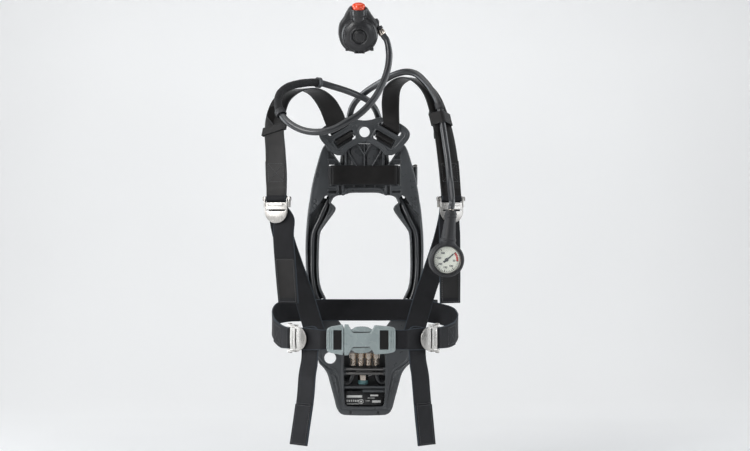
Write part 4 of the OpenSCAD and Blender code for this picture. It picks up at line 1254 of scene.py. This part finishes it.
def yoke_field(x, y, z):
    ax = abs(x)
    d = yoke_outline(ax, z)
    upper = rect(ax, z, *UPPER_SLOT, 23.5, 4, 2.5, -30)
    lower = rect(ax, z, 40, 567, 22, 9, 2.0, -30)
    lower = cut(lower, rect(ax, z, 20.6, 578.2, 3.0, 4.2, 1, -30), 0.8)
    hole = np.hypot(x, z - 581.5) - 10.5
    slots = join(upper, lower)
    plate = smax(d, slab(y, -8, -4), 2.2)
    top = smax(d + 5, slab(y, -8.9, -5), 1.6)
    body = smin(plate, top, 1.4)
    line = meet(abs(d + 9.5) - 0.8, slab(y, -9.5, -7))
    collar = meet(abs(slots - 2.0) - 1.1, slab(y, -9.5, -7))
    body = smin(body, join(line, collar), 0.9)
    body = smin(body, meet(abs(hole - 1.6) - 1.3, slab(y, -9.5, -7)), 0.9)
    for bx in (-23.2, -14.4):
        body = smin(body, np.sqrt((x - bx) ** 2 + (y + 8.7) ** 2 + (z - 594) ** 2) - 1.5, 0.7)
    return cut(body, join(slots, hole), 1.0)


solid(
    "yoke_shell", yoke_field, (-96, -10.5, 535), (96, -3, 615), 0.85, FRAME_PLASTIC, "yoke",
    replaces=("yoke_plate",)
)

for word, side in SIDES.items():
    direction = np.array([math.sin(SLOT_LEAN) * side, 0, math.cos(SLOT_LEAN)])
    centre = np.array([side * 41, -7.6, 567.6]) + direction * 0.7
    half = [19.3 * math.cos(SLOT_LEAN), 0, -side * 19.3 * math.sin(SLOT_LEAN)]
    spiral = []
    for a in np.linspace(0, 900, 50):
        r = 1.5 + 5.2 * a / 900
        t = math.radians(a)
        spiral.append(
            [*(centre + direction * (r * math.cos(t)) + np.array([0, r * math.sin(t), 0])), *half]
        )
    strap(f"strap_roll_{word}", spiral, SATIN_WEBBING, "yoke", thick=1.5, per=2, ripple=0)

# ---------------------------------------------------------------- foot, reducer and connector

foot_outline = polygon(cut_corners([
    (-55.6, 13.5), (-53.5, 8.5), (-48.5, 3.6), (-41, 1), (0, 0), (41, 1), (48.5, 3.6), (53.5, 8.5),
    (55.6, 13.5),
], 1, 0.15))


def foot_field(x, y, z):
    front = np.interp(z, FRONT[:, 0], FRONT[:, 1]) + 0.5
    body = smax(foot_outline(x, z), meet(front - y, y - 62), 2.6)
    body = meet(body, z - 11.95)
    return cut(body, meet(np.hypot(abs(x) - 28, z - 7) - 3, y - front - 4), 0.6)


solid(
    "foot_rim", foot_field, (-56, 4, 0), (56, 63, 12.2), 1.0, FRAME_PLASTIC,
    replaces=("foot_bumper",)
)


def hexagon(x, y, r):
    """Distance to a hexagon of corner radius r."""
    a, b = abs(x), abs(y)
    return meet(a, a * 0.5 + b * 0.8660254) - r * 0.8660254


FITTING_X = (-24, -8, 8, 24)


def fitting_field(x, y, z):
    best = 1e9
    for fx in FITTING_X:
        u, v = x - fx, y - 27
        r = np.hypot(u, v)
        nut = smax(hexagon(v, u, 7.6), slab(z, 116, 127.8), 0.6)
        nut = smax(nut, (r - 7.3) * 0.8 + abs(z - 121.9) * 0.5 - 2.9, 0.4)
        shank = 6.1 + 0.45 * np.clip(np.sin((z - 101) * 1.9) * 3, -1, 1)
        ferrule = smax(r - shank, slab(z, 101.1, 117), 1.0)
        one = join(nut, ferrule)
        groove = meet(abs(z - 115.6) - 0.6, 5.4 - r)
        best = join(best, cut(one, groove, 0.3))
    return best


solid(
    "hose_fitting_set", fitting_field, (-32, 19, 100.5), (32, 35, 128.5), 0.55, NICKEL,
    replaces=("hose_fittings",)
)


def relief_field(x, y, z):
    u, v = x + 3, y - 26
    r = np.hypot(u, v)
    nut = smax(hexagon(v, u, 10.8), slab(z, 71.5, 82.8), 0.7)
    nut = smax(nut, (r - 10.3) * 0.8 + abs(z - 77.1) * 0.5 - 2.8, 0.4)
    neck = smax(r - 6 + 0.3 * np.sin(z * 3.2), slab(z, 82, 87.8), 0.5)
    return join(nut, neck)


solid(
    "relief_valve_body", relief_field, (-14.5, 14.5, 71), (8.5, 37.5, 88.5), 0.55, NICKEL,
    replaces=("relief_valve",)
)


def wheel_field(x, y, z):
    u, v = x, z - CONNECTOR_Z
    r, a = np.hypot(u, v), np.arctan2(v, u)
    rim = 25.9 + 1.0 * np.cos(12 * a)
    grip = smax(r - rim, slab(y, 67, 86), 3.0)
    dish = meet(np.hypot(meet(r - 17, 0), (y - 89) * 1.2) - 7.5, 12.5 - r)
    grip = cut(grip, dish, 1.5)
    pitch = 11.2 + 0.25 * np.cos(y * 2 * math.pi / 1.8 + a)
    spigot = smax(r - pitch, slab(y, 85, 100), 1.2)
    return smax(smin(grip, spigot, 0.8), 5.1 - r, 0.3)


solid(
    "handwheel_grip", wheel_field, (-28, 66.5, 74), (28, 100.5, 130), 0.75, SOFT_RUBBER, "handwheel",
    replaces=("handwheel",)
)

# Blank bars and a dot stand for the printed plate
bars = [
    (-37, 39, 32, 5.0), (11.5, 41, 17, 3.6), (15.5, 28.5, 18, 5.2), (-37, 23.4, 26, 1.4),
    (6, 35.6, 15, 1.2), (2, 29.8, 9, 1.4)
]
bars += [(-37 + 4.4 * i, 30, 2.6, 4.2) for i in range(6)]


def bar_field(x, y, z):
    best = 1e9
    for bx, bz, bw, bh in bars:
        best = join(best, rect(x, z, bx + bw / 2, bz, bw / 2, bh / 2, min(bh / 2, 0.8)))
    seal = np.hypot(x + 7.3, z - 28.5)
    best = join(best, meet(seal - 5.2, 3.9 - seal), seal - 2.2)
    return smax(best, slab(y, 13.6, 14.1), 0.2)


solid("label_bars", bar_field, (-37, 13.4, 21.5), (36, 14.3, 47), 0.45, LABEL_WHITE)

# ---------------------------------------------------------------- adjusters

def lever_field(x, y, z):
    ax = abs(x)
    bow = 1.3 * (ax / 23) ** 2 + 0.9 * np.clip((-30 - z) / 17, 0, 1) ** 2 * 2
    front = y - bow
    moon = meet(np.hypot(x, z + 24) - 23, z + 22.5)
    strip = rect(x, z, 0, -14, 23, 7, 1)
    joined = join(moon, strip, rect(ax, z, 21, -21, 2, 4))
    slot = rect(x, z, 0, -22.3, 18.6, 1.25, 1.2)
    plate = smax(cut(joined, slot, 0.8), slab(front, -8.05, -6.35), 0.9)
    rib = meet(rect(x, z, 0, -11, 15, 2.2, 2), slab(front, -8.6, -6.5))
    plate = smin(plate, rib, 0.8)
    ring = np.hypot(y, z)
    ear = join(ring - 5.1, meet(rect(y, z, -5.2, -8, 2.4, 8), y - 3))
    ear = smax(ear, slab(ax, 21.1, 23.2), 0.6)
    body = smin(plate, ear, 1.0)
    return smax(body, 3.1 - ring, 0.3)


lever_mesh = net(lever_field, (-24.5, -9.8, -48.5), (24.5, 6.5, 6.5), 0.6)
for where, group in (("shoulder", shoulder), ("waist", waist)):
    for word in SIDES:
        node = f"{where}_lever_{word}"
        piece(
            f"{node}_plate", moved(group[word], lever_mesh[0]), lever_mesh[1], STEEL, node, None, 180,
            (node,), close=False
        )

# ---------------------------------------------------------------- belt buckle

BUCKLE = np.array([0, -280, 177.0])
half_outline = [
    (-36, 29), (-28, 28.6), (-24.5, 23), (-21, 15.5), (-18, 13.4), (11.5, 13.4), (14.5, 17), (20, 27.6),
    (48, 25), (57, 22.8), (60, 19),
]
female_outline = polygon(cut_corners(half_outline + [(a, -b) for a, b in half_outline[::-1]], 1, 0.12))


def female_field(x, y, z):
    az = abs(z)
    d = female_outline(x, z)
    thick = 8.5 - 1.5 * (az / 27) ** 2 - 1.2 * np.clip((x - 30) / 30, 0, 1) ** 2
    body = smax(d, abs(y) - thick, 3.4)
    lip = meet(abs(x + 34) - 1.6, az - 28, abs(y) - thick - 0.2)
    body = smin(body, lip, 0.9)
    scoop = meet(abs(d + 1.6) - 0.7, abs(x + 3.5) - 19, 26 - az - 9)
    body = smin(body, meet(scoop, abs(y) - thick - 0.5), 0.8)
    frame_line = meet(abs(rect(x, z, 38.6, 0, 10.3, 20.6, 2)) - 0.7, abs(y) - thick - 0.25)
    body = smin(body, frame_line, 0.8)
    for bx in (52, 55.5):
        body = cut(body, meet(abs(x - bx) - 0.55, az - 16, thick - 1.0 - abs(y)), 0.4)
    cavity = meet(slab(x, -40, 26), abs(y) - 6, az - np.where(x < -15, 27, 25))
    window = rect(x, z, 38.6, 0, 8.1, 18.2, 1.2)
    channel = meet(slab(x, 46, 76), abs(y) - 4, az - 19)
    return cut(body, join(cavity, channel, window), 0.8)


male_outline = polygon(
    cut_corners([(-69, -20), (-63, -24), (-36.4, -29), (-36.4, 29), (-63, 24), (-69, 20)], 1, 0.12)
)


def male_field(x, y, z):
    az = abs(z)
    thick = 8.5 - 1.5 * (az / 27) ** 2 - 1.0 * np.clip((-50 - x) / 19, 0, 1) ** 2
    body = smax(male_outline(x, z), abs(y) - thick, 3.0)
    body = smin(body, smax(meet(slab(x, -38, 14.6), az - 5), abs(y) - 4, 1.5), 1)
    body = smin(body, meet(abs(rect(x, z, -48.2, 0, 9.6, 20.8, 2)) - 0.7, abs(y) - thick - 0.25), 0.8)
    for bx in (-66, -62.8, -59.6):
        body = cut(body, meet(abs(x - bx) - 0.55, az - 17, thick - 1.0 - abs(y)), 0.4)
    window = rect(x, z, -48.2, 0, 7.8, 18.4, 1.2)
    channel = meet(slab(x, -80, -54), abs(y) - 4, az - 19)
    pocket = join(np.hypot(x + 42, az - 15) - 3.3, rect(x, az, -36, 15, 6.5, 3.6))
    pocket = meet(pocket, abs(y) - 5.2)
    return cut(body, join(window, channel, pocket), 0.7)


prong_outline = polygon(
    cut_corners(
        [
            (0, -2), (26, 0), (56, -1), (62, 1), (62, 3), (56, 5), (50, 9), (38, 10.4), (27, 9.2), (20, 4),
            (0, 2)
        ],
        1, 0.2
    )
)


def prong_field(x, y, z):
    hub = smax(np.hypot(x, z) - 3, abs(y) - 5, 0.8)
    arm = smax(prong_outline(x, z), abs(y) - 5, 2.0)
    for gx in (31, 34.5, 38, 41.5, 45):
        arm = cut(arm, np.hypot(x - gx, z - 10.6) - 1.0, 0.4)
    return smin(hub, arm, 1)


at_buckle = place(BUCKLE)
for word, body, x0, x1 in (("left", "buckle_male", -57, -41.2), ("right", "root", 30.6, 47)):
    rows = [[x, BUCKLE[1] - 5.7, BUCKLE[2], 0, 0, 17.9] for x in np.linspace(x0, x1, 4)]
    strap(f"buckle_webbing_{word}", rows, SATIN_WEBBING, body, thick=0.7, per=2, ripple=0)
solid(
    "buckle_socket", female_field, (-37, -9.2, -30), (61, 9.2, 30), 0.8, BUCKLE_PLASTIC, "root", at_buckle,
    ("buckle_female",)
)
solid(
    "buckle_tongue", male_field, (-70, -9.2, -30), (16, 9.2, 30), 0.8, BUCKLE_PLASTIC, "buckle_male",
    at_buckle, ("buckle_male",)
)
prong_mesh = net(prong_field, (-3.5, -5.2, -3.5), (63, 5.2, 12.5), 0.7)
for node, flip in (("prong_upper", 1), ("prong_lower", -1)):
    v = prong_mesh[0] * [1, 1, flip] + [-42, 0, flip * 15]
    q = prong_mesh[1] if flip > 0 else prong_mesh[1][:, ::-1]
    piece(
        f"{node}_arm", moved(at_buckle, v), q, BUCKLE_PLASTIC, node, None, 180, (node,),
        close=False
    )

# ---------------------------------------------------------------- demand valve

valve = place((-8.6, -165, 761), (20, "X"))
swivel = facing(swivel_axis, swivel_at)
housing_outline = polygon(cut_corners([
    (13, 56), (21, 42), (31, 28), (35, 20), (33, 12), (33, 0), (30, -19), (22, -31), (14, -34.5),
    (-16, -34.5),
    (-26, -31), (-37, -18), (-42, 2), (-40, 21), (-31, 33), (-27, 42), (-20, 53), (-16, 56),
], 2))
to_swivel = np.linalg.inv(swivel) @ valve


def housing_field(x, y, z):
    r = np.hypot(x, z)
    crown = 1.5 * np.clip((z - 20) / 30, 0, 1)
    shell = smax(housing_outline(x, z), slab(y, -3 + crown, 14), 5.5)
    back = smax(r - 34, slab(y, 8, 22), 4)
    hub = smax(r - 26, slab(y, 18, 27), 3)
    plug = smax(r - 18.9 + 0.5 * meet(0, 1 - abs(y - 35) / 1.2, 0), slab(y, 24, 41.9), 1.5)
    body = smin(smin(smin(shell, back, 4), hub, 3), plug, 1.5)
    nr = np.hypot(x + 1.5, y + 1)
    neck = smax(nr - np.interp(z, [36, 39.5], [12.9, 14.4]), slab(z, 26, 51), 1.2)
    body = smin(body, neck, 4)
    sx, sy, sz = (row[0] * x + row[1] * y + row[2] * z + row[3] for row in to_swivel[:3])
    sr = np.hypot(sx, sy)
    body = smin(body, smax(sr - 8.9, slab(sz, 17.1, 33), 1.5), 3)
    cavity = meet(r - 31, slab(y, -8, 10))
    bore = meet(r - 12, slab(y, 9, 46))
    well = meet(nr - 11.8, slab(z, 42, 60))
    seat = join(meet(sr - 8.7, slab(sz, -8, 17)), meet(sr - 4.7, slab(sz, 16, 24)))
    groove = meet(abs(y - 29.5) - 1.6, 15.6 - r, r - 22)
    return cut(body, join(cavity, bore, well, seat, groove), 0.8)


solid(
    "valve_shell", housing_field, (-44, -17, -40), (37, 43, 57), 1.0, VALVE_PLASTIC, "demand_valve", valve,
    ("valve_housing",)
)


def cover_field(x, h, z):
    """h runs out of the cover, towards the viewer."""
    r = np.hypot(x, z)
    dome = np.interp(
        r, [13.8, 17, 21, 25, 29, 32, 34.4, 36], [16.7, 17.0, 16.4, 15.1, 12.9, 10.4, 7.6, 4.2]
    )
    under = np.interp(r, [0, 30, 32, 40], [8, 8, 3.2, 3.2])
    body = smax(smax(r - 36, (h - dome) * 0.86, 1.6), (under - h) * 0.9, 0.7)
    line = meet(abs(r - 30.6) - 0.55, dome - 1.1 - h)
    body = cut(body, line, 0.4)
    ring = meet(abs(r - 16.6) - 1.0, slab(h, 15, 17.7))
    body = smin(body, ring, 0.7)
    # moulded lip with two slots at the bottom
    body = smax(body, -34.6 - z, 1.5)
    lip = smax(rect(x, z, 0, -31.6, 10.5, 2.9, 1.6), slab(h, 6, 12.6), 1.2)
    feet = smax(rect(abs(x), z, 24, -27, 3.4, 3.4, 1.5), slab(h, 4, 8.5), 1.2)
    body = smin(body, join(lip, feet), 1.2)
    slots = rects(x, z, (-4.6, -31.4, 3.0, 1.2, 0.6), (4.6, -31.4, 3.0, 1.2, 0.6))
    body = cut(body, slots, 0.5)
    body = smax(body, 13.8 - r, 0.5)
    notch = meet(np.hypot(x + 1.5, h - 1) - 13.4, 29.4 - z)
    return cut(body, notch, 0.5)


face = valve @ np.array(Matrix.Rotation(math.radians(90), 4, "X"))
to_face = lambda f: (lambda x, y, z: f(x, z, y))
solid(
    "valve_cover_dome", to_face(cover_field), (-36.5, -36.5, 2.5), (36.5, 36.5, 18.5), 0.75, VALVE_PLASTIC,
    "demand_valve", face, ("valve_cover",)
)
lathe("valve_membrane", [
    (0.01, 0), (24, 0), (25, 0.5), (26, 1.4), (27, 0.5), (28, 0), (30.4, 0), (30.4, 1), (28.4, 1.1),
    (27.3, 1.6),
    (26, 2.5), (24.7, 1.6), (23.6, 1.2), (0.01, 1.2),
], face, SOFT_RUBBER, "demand_valve", replaces=("valve_diaphragm",))
lathe("purge_pad", [
    (0.01, 12), (12.9, 12), (13, 12.2), (13, 16.2), (12.7, 16.9), (12, 17.4), (11.3, 17.6), (10.9, 17.45),
    (10.6, 17.1),
    (9.9, 17.1), (9.6, 17.5), (9.2, 17.75), (6, 18.1), (3, 18.25), (0.01, 18.3),
], face, BUTTON_PLASTIC, "purge_button", replaces=("purge_button",))
reset = valve @ np.array(Matrix.Translation((-1.5, -1, 0)))
lathe("reset_dome", [
    (0.01, 48), (11.1, 48), (11.4, 48.3), (11.4, 54.9), (12.6, 55.1), (13.1, 55.7), (12.9, 57.2),
    (12.2, 58.9), (10.8, 60.6),
    (8.8, 61.9), (6.1, 62.9), (3.1, 63.4), (0.01, 63.5),
], reset, RED_PLASTIC, "reset_button", replaces=("reset_button",), angle=60)

# ---------------------------------------------------------------- small machined pieces

for material, width, segments, nodes in (
    (FRAME_PLASTIC, 0.5, 2, "yoke_guides rod_collars"),
    (DARK_STEEL, 1.0, 3, "reducer_body"),
    (FRAME_PLASTIC, 1.2, 3, "reducer_cap"),
    (DARK_STEEL, 0.5, 2, "mounting_rods"),
    (NICKEL, 0.6, 2, "connector_stem"),
    (SOFT_RUBBER, 0, 2, "connector_seal plug_seal"),
    (LABEL_PLASTIC, 0.5, 2, "label_plate"),
    (GLOSS_RUBBER, 1.4, 3, "hip_supports"),
    (TEAL_PLASTIC, 1.0, 3, "relief_cap"),
    (DARK_STEEL, 0.6, 2, "strap_buckle_frame"),
    (STEEL, 0.5, 2, "strap_buckle_pin"),
    (FRAME_PLASTIC, 1.0, 3, "strap_cam_lever"),
    (STEEL, 0.6, 3, "adjuster_frames"),
    (STEEL, 0.8, 3, "adjuster_pins"),
    (FRAME_PLASTIC, 0.4, 2, "frame_screws"),
    (NICKEL, 0.8, 3, "hose_ferrules"),
    (SOFT_RUBBER, 0.7, 3, "swivel_nut"),
):
    for node in nodes.split():
        hard(node, material, width, segments)

# ---------------------------------------------------------------- gauge

gauge = place(gauge_at, (GAUGE_LEAN, "Y"), (GAUGE_TURN, "Z"))
STEM = np.array([
    (24, 16.5), (27, 16), (36, 14.2), (37, 15.3), (40, 15.3), (41.2, 14), (54, 12.6), (80, 10.6),
    (81, 11.6), (84, 11.6),
    (85, 10.6), (86, 11.6), (89, 11.6), (90.2, 10.2), (95, 10.1),
], float)


def boot_field(x, y, z):
    r = np.hypot(x, z)
    body = smax(r - 33, slab(y, -15, 14), 6)
    step_ring = meet(abs(r - 27.9) - 0.7, slab(y, -15.4, -12))
    body = smin(body, step_ring, 0.7)
    body = cut(body, meet(abs(y + 8.6) - 0.4, 32.2 - r), 0.5)
    sr = np.hypot(x, y)
    stem = smax((sr - np.interp(z, STEM[:, 0], STEM[:, 1])) * 0.85, slab(z, 20, 94.9), 1.0)
    body = smin(body, stem, 4)
    dish = meet(r - 27.2, slab(y, -40, 9))
    bore = meet(sr - 5.6, 75 - z)
    return cut(body, join(dish, bore), 0.7)


solid(
    "gauge_jacket", boot_field, (-34, -16, -34), (34, 15, 95.5), 0.95, SOFT_RUBBER, "gauge", gauge,
    ("gauge_boot",)
)
dial = gauge @ np.array(Matrix.Rotation(math.radians(90), 4, "X"))
lathe("gauge_can", [
    (0.01, -8.9), (26.6, -8.9), (27, -8.5), (27, 11.6), (26.7, 12.3), (26, 12.6), (25.4, 12.3),
    (25.2, 11.8), (25.2, -5.9),
    (0.01, -5.9),
], dial, DARK_STEEL, "gauge", replaces=("gauge_case",))


def dial_paint():
    """Pale dial with a slight green tint."""
    s = Shader("dial_face", Roughness=0.45)
    s.set(Base_Color=s.blend(s.fit(s.noise(900, 3), 0.35, 0.7), (0.86, 0.87, 0.76), (0.92, 0.93, 0.82)))
    s.set(Normal=s.bump(s.noise(2200, 2), 0.01))
    return s.mat


DIAL = dial_paint()
BLACK_INK = moulded("black_ink", (0.01, 0.01, 0.011), 0.4, 0.004, 0.0)
RED_INK = moulded("red_ink", (0.62, 0.03, 0.02), 0.4, 0.004, 0.0)
lathe("gauge_face", [
    (1.6, 3), (25, 3), (25, 4.1), (24.6, 4.25), (23.9, 4.0), (1.6, 3.95),
], dial, DIAL, "gauge", replaces=("gauge_dial",))


def dial_bar(points, faces, a0, a1, r0, r1, low=3.9, high=4.12):
    """Flat curved bar on the dial between two angles in degrees."""
    steps = max(1, int(abs(a1 - a0) / 3))
    rings = []
    for a in np.radians(np.linspace(a0, a1, steps + 1)):
        c, s = math.cos(a), math.sin(a)
        rings.append(
            [[r0 * c, r0 * s, low], [r1 * c, r1 * s, low], [r1 * c, r1 * s, high], [r0 * c, r0 * s, high]]
        )
    rings = np.array(rings)
    base = len(points)
    points += moved(dial, rings.reshape(-1, 3)).tolist()
    faces += [tuple(base + v for v in f) for f in bridge(rings)]


DIAL_START, DIAL_SWEEP, DIAL_MAX = 45, 280, 300


def dial_angle(bar):
    """Degrees on the dial for a pressure in bar."""
    return DIAL_START - DIAL_SWEEP * bar / DIAL_MAX


points, faces = [], []
for bar in range(0, DIAL_MAX + 1, 10):
    long, wide = (4.4, 1.2) if bar % 50 == 0 else (2.6, 0.55)
    a, half = dial_angle(bar), math.degrees(wide / 2 / 21)
    dial_bar(points, faces, a - half, a + half, 23 - long, 23)
dial_bar(points, faces, dial_angle(55), dial_angle(DIAL_MAX), 22.9, 23.3)
piece("dial_ticks", points, faces, BLACK_INK, "gauge", None, 30)
points, faces = [], []
dial_bar(points, faces, dial_angle(0), dial_angle(50), 18.6, 22.8)
piece("dial_reserve", points, faces, RED_INK, "gauge", None, 30)


def numeral(text, at, size, name):
    """Flat digits as a mesh, lying on the dial."""
    font = bpy.data.curves.new(name, "FONT")
    font.body, font.size, font.align_x, font.align_y = text, size / 1000, "CENTER", "CENTER"
    font.extrude = 0.00006
    font.offset = 0.00016
    holder = bpy.data.objects.new(name, font)
    bpy.context.scene.collection.objects.link(holder)
    bpy.context.view_layer.update()
    mesh = bpy.data.meshes.new_from_object(holder)
    bpy.data.objects.remove(holder)
    mesh.transform(Matrix.Translation((at[0] / 1000, at[1] / 1000, 0.00412)))
    m = Matrix(dial.tolist())
    m.translation = m.translation / 1000
    mesh.transform(m)
    obj = bpy.data.objects.new(name, mesh)
    bpy.context.scene.collection.objects.link(obj)
    mesh.materials.clear()
    mesh.materials.append(BLACK_INK)
    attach(obj, "gauge")
    return obj


for bar in range(0, DIAL_MAX + 1, 50):
    a = math.radians(dial_angle(bar))
    numeral(str(bar), (14.6 * math.cos(a), 14.6 * math.sin(a)), 5.2, f"dial_number_{bar}")


def needle_field(x, y, z):
    c = math.sqrt(0.5)
    u, v = (x + y) * c, (y - x) * c
    arm = smax(
        meet(abs(v) - np.interp(u, [-8, -7, 0, 17, 18.4], [0.9, 2.0, 1.7, 0.7, 0.1]), slab(u, -7.4, 18)),
        slab(z, 4.7, 5.4), 0.25
    )
    r = np.hypot(x, y)
    cap = smax(r - 3.4, slab(z, 4.4, 5.9), 0.7)
    post = meet(r - 1.45, slab(z, 2, 5))
    return join(arm, cap, post)


solid(
    "needle_arm", needle_field, (-6.5, -6.5, 2), (14, 14, 6.2), 0.3, BLACK_INK, "needle", dial,
    ("gauge_needle",)
)


def glass():
    """Clear gauge window."""
    s = Shader(
        "gauge_glass", Roughness=0.04, IOR=1.5, Alpha=0.06, Base_Color=(0.9, 0.95, 0.96),
        Specular_IOR_Level=0.6
    )
    s.set(Roughness=s.fit(s.noise(60, 3), 0.4, 0.7, 0.03, 0.07))
    s.set(Normal=s.bump(s.noise(25, 1), 0.02))
    return s.mat


lathe(
    "gauge_window",
    [(0.01, 8), (24.9, 8), (25, 8.1), (25, 9), (23.5, 9.5), (18, 10.1), (9, 10.5), (0.01, 10.6)], dial,
    glass(), "gauge", replaces=("gauge_lens",), angle=60
)

# ---------------------------------------------------------------- floor, light and camera


CAMERA_AT, LENS, SENSOR = (0.0215, -3.2, 0.3905), 75, 36
FLOOR_Z, FLOOR_HALF, SWEEP_Y, SWEEP_R, WALL_TOP = -0.16, 3.4, 1.6, 1.2, 4.0


def studio():
    """Pale floor that curves up into a backdrop, soft lights, and the photo's camera, all in metres."""
    floor = Shader("studio_floor", Roughness=0.75)
    shade = floor.blend(floor.fit(floor.noise(1.5, 2), 0.3, 0.7), (0.80, 0.80, 0.80), (0.82, 0.82, 0.82))
    floor.set(Base_Color=shade, Normal=floor.bump(floor.noise(300, 2), 0.05))
    depth = floor.node("ShaderNodeSeparateXYZ", {0: floor.place}).outputs[1]
    floor.set(Emission_Color=shade, Emission_Strength=floor.fit(depth, 0.3, 1.5, 0.0, 0.26))
    # seen from behind, the backdrop is clear
    behind = floor.node("ShaderNodeNewGeometry").outputs["Backfacing"]
    floor.set(Alpha=floor.sub(1.0, behind))
    bend = [
        (SWEEP_Y + SWEEP_R * math.sin(a), SWEEP_R - SWEEP_R * math.cos(a)) for a in np.linspace(
            0.1, math.pi / 2, 14
        )
    ]
    profile = [(-3.6, 0.0), (SWEEP_Y, 0.0), *bend, (SWEEP_Y + SWEEP_R, WALL_TOP)]
    points = [(x, y, z + FLOOR_Z) for y, z in profile for x in (-FLOOR_HALF, FLOOR_HALF)]
    faces = [(2 * i, 2 * i + 1, 2 * i + 3, 2 * i + 2) for i in range(len(profile) - 1)]
    mesh = bpy.data.meshes.new("studio_sweep")
    mesh.from_pydata(points, [], faces)
    for f in mesh.polygons:
        f.use_smooth = True
    sweep = bpy.data.objects.new("studio_sweep", mesh)
    bpy.context.scene.collection.objects.link(sweep)
    mesh.materials.append(floor.mat)

    world = bpy.data.worlds.new("studio")
    bpy.context.scene.world = world
    world.use_nodes = True
    background = world.node_tree.nodes["Background"]
    background.inputs["Color"].default_value = (0.93, 0.96, 1.0, 1)
    background.inputs["Strength"].default_value = 0.14

    white, cool = (1, 1, 1), (0.93, 0.97, 1.0)
    for name, at, target, size, power, colour in (
        ("key", (-1.8, -2.5, 1.35), (0, -0.1, 0.4), (1.0, 1.9), 44, white),
        ("fill", (2.0, -2.4, 1.1), (0, -0.1, 0.4), (0.8, 2.0), 17, (0.94, 0.97, 1.0)),
        ("left_rim", (-2.2, 0.1, 0.8), (0, 0, 0.4), (1.0, 2.4), 38, cool),
        ("right_rim", (2.2, 0.1, 0.8), (0, 0, 0.4), (1.0, 2.4), 28, cool),
        ("top", (0, -0.3, 2.9), (0, 0, 0.4), (2.4, 1.4), 18, white),
        ("streak", (-1.5, -1.6, 2.3), (0, -0.15, 0.6), (0.22, 1.0), 12, white),
    ):
        lamp = bpy.data.lights.new(name, "AREA")
        lamp.shape, lamp.size, lamp.size_y, lamp.energy, lamp.color = "RECTANGLE", *size, power, colour
        obj = bpy.data.objects.new(name, lamp)
        obj.location = at
        obj.rotation_euler = (Vector(target) - Vector(at)).to_track_quat("-Z", "Y").to_euler()
        bpy.context.scene.collection.objects.link(obj)

    camera = bpy.data.objects.new("camera", bpy.data.cameras.new("camera"))
    bpy.context.scene.collection.objects.link(camera)
    camera.location = CAMERA_AT
    camera.rotation_euler = (math.pi / 2, 0, 0)
    camera.data.lens, camera.data.sensor_width = LENS, SENSOR
    bpy.context.scene.camera = camera
    bpy.context.scene.view_settings.view_transform = "Standard"


studio()
bpy.context.view_layer.update()
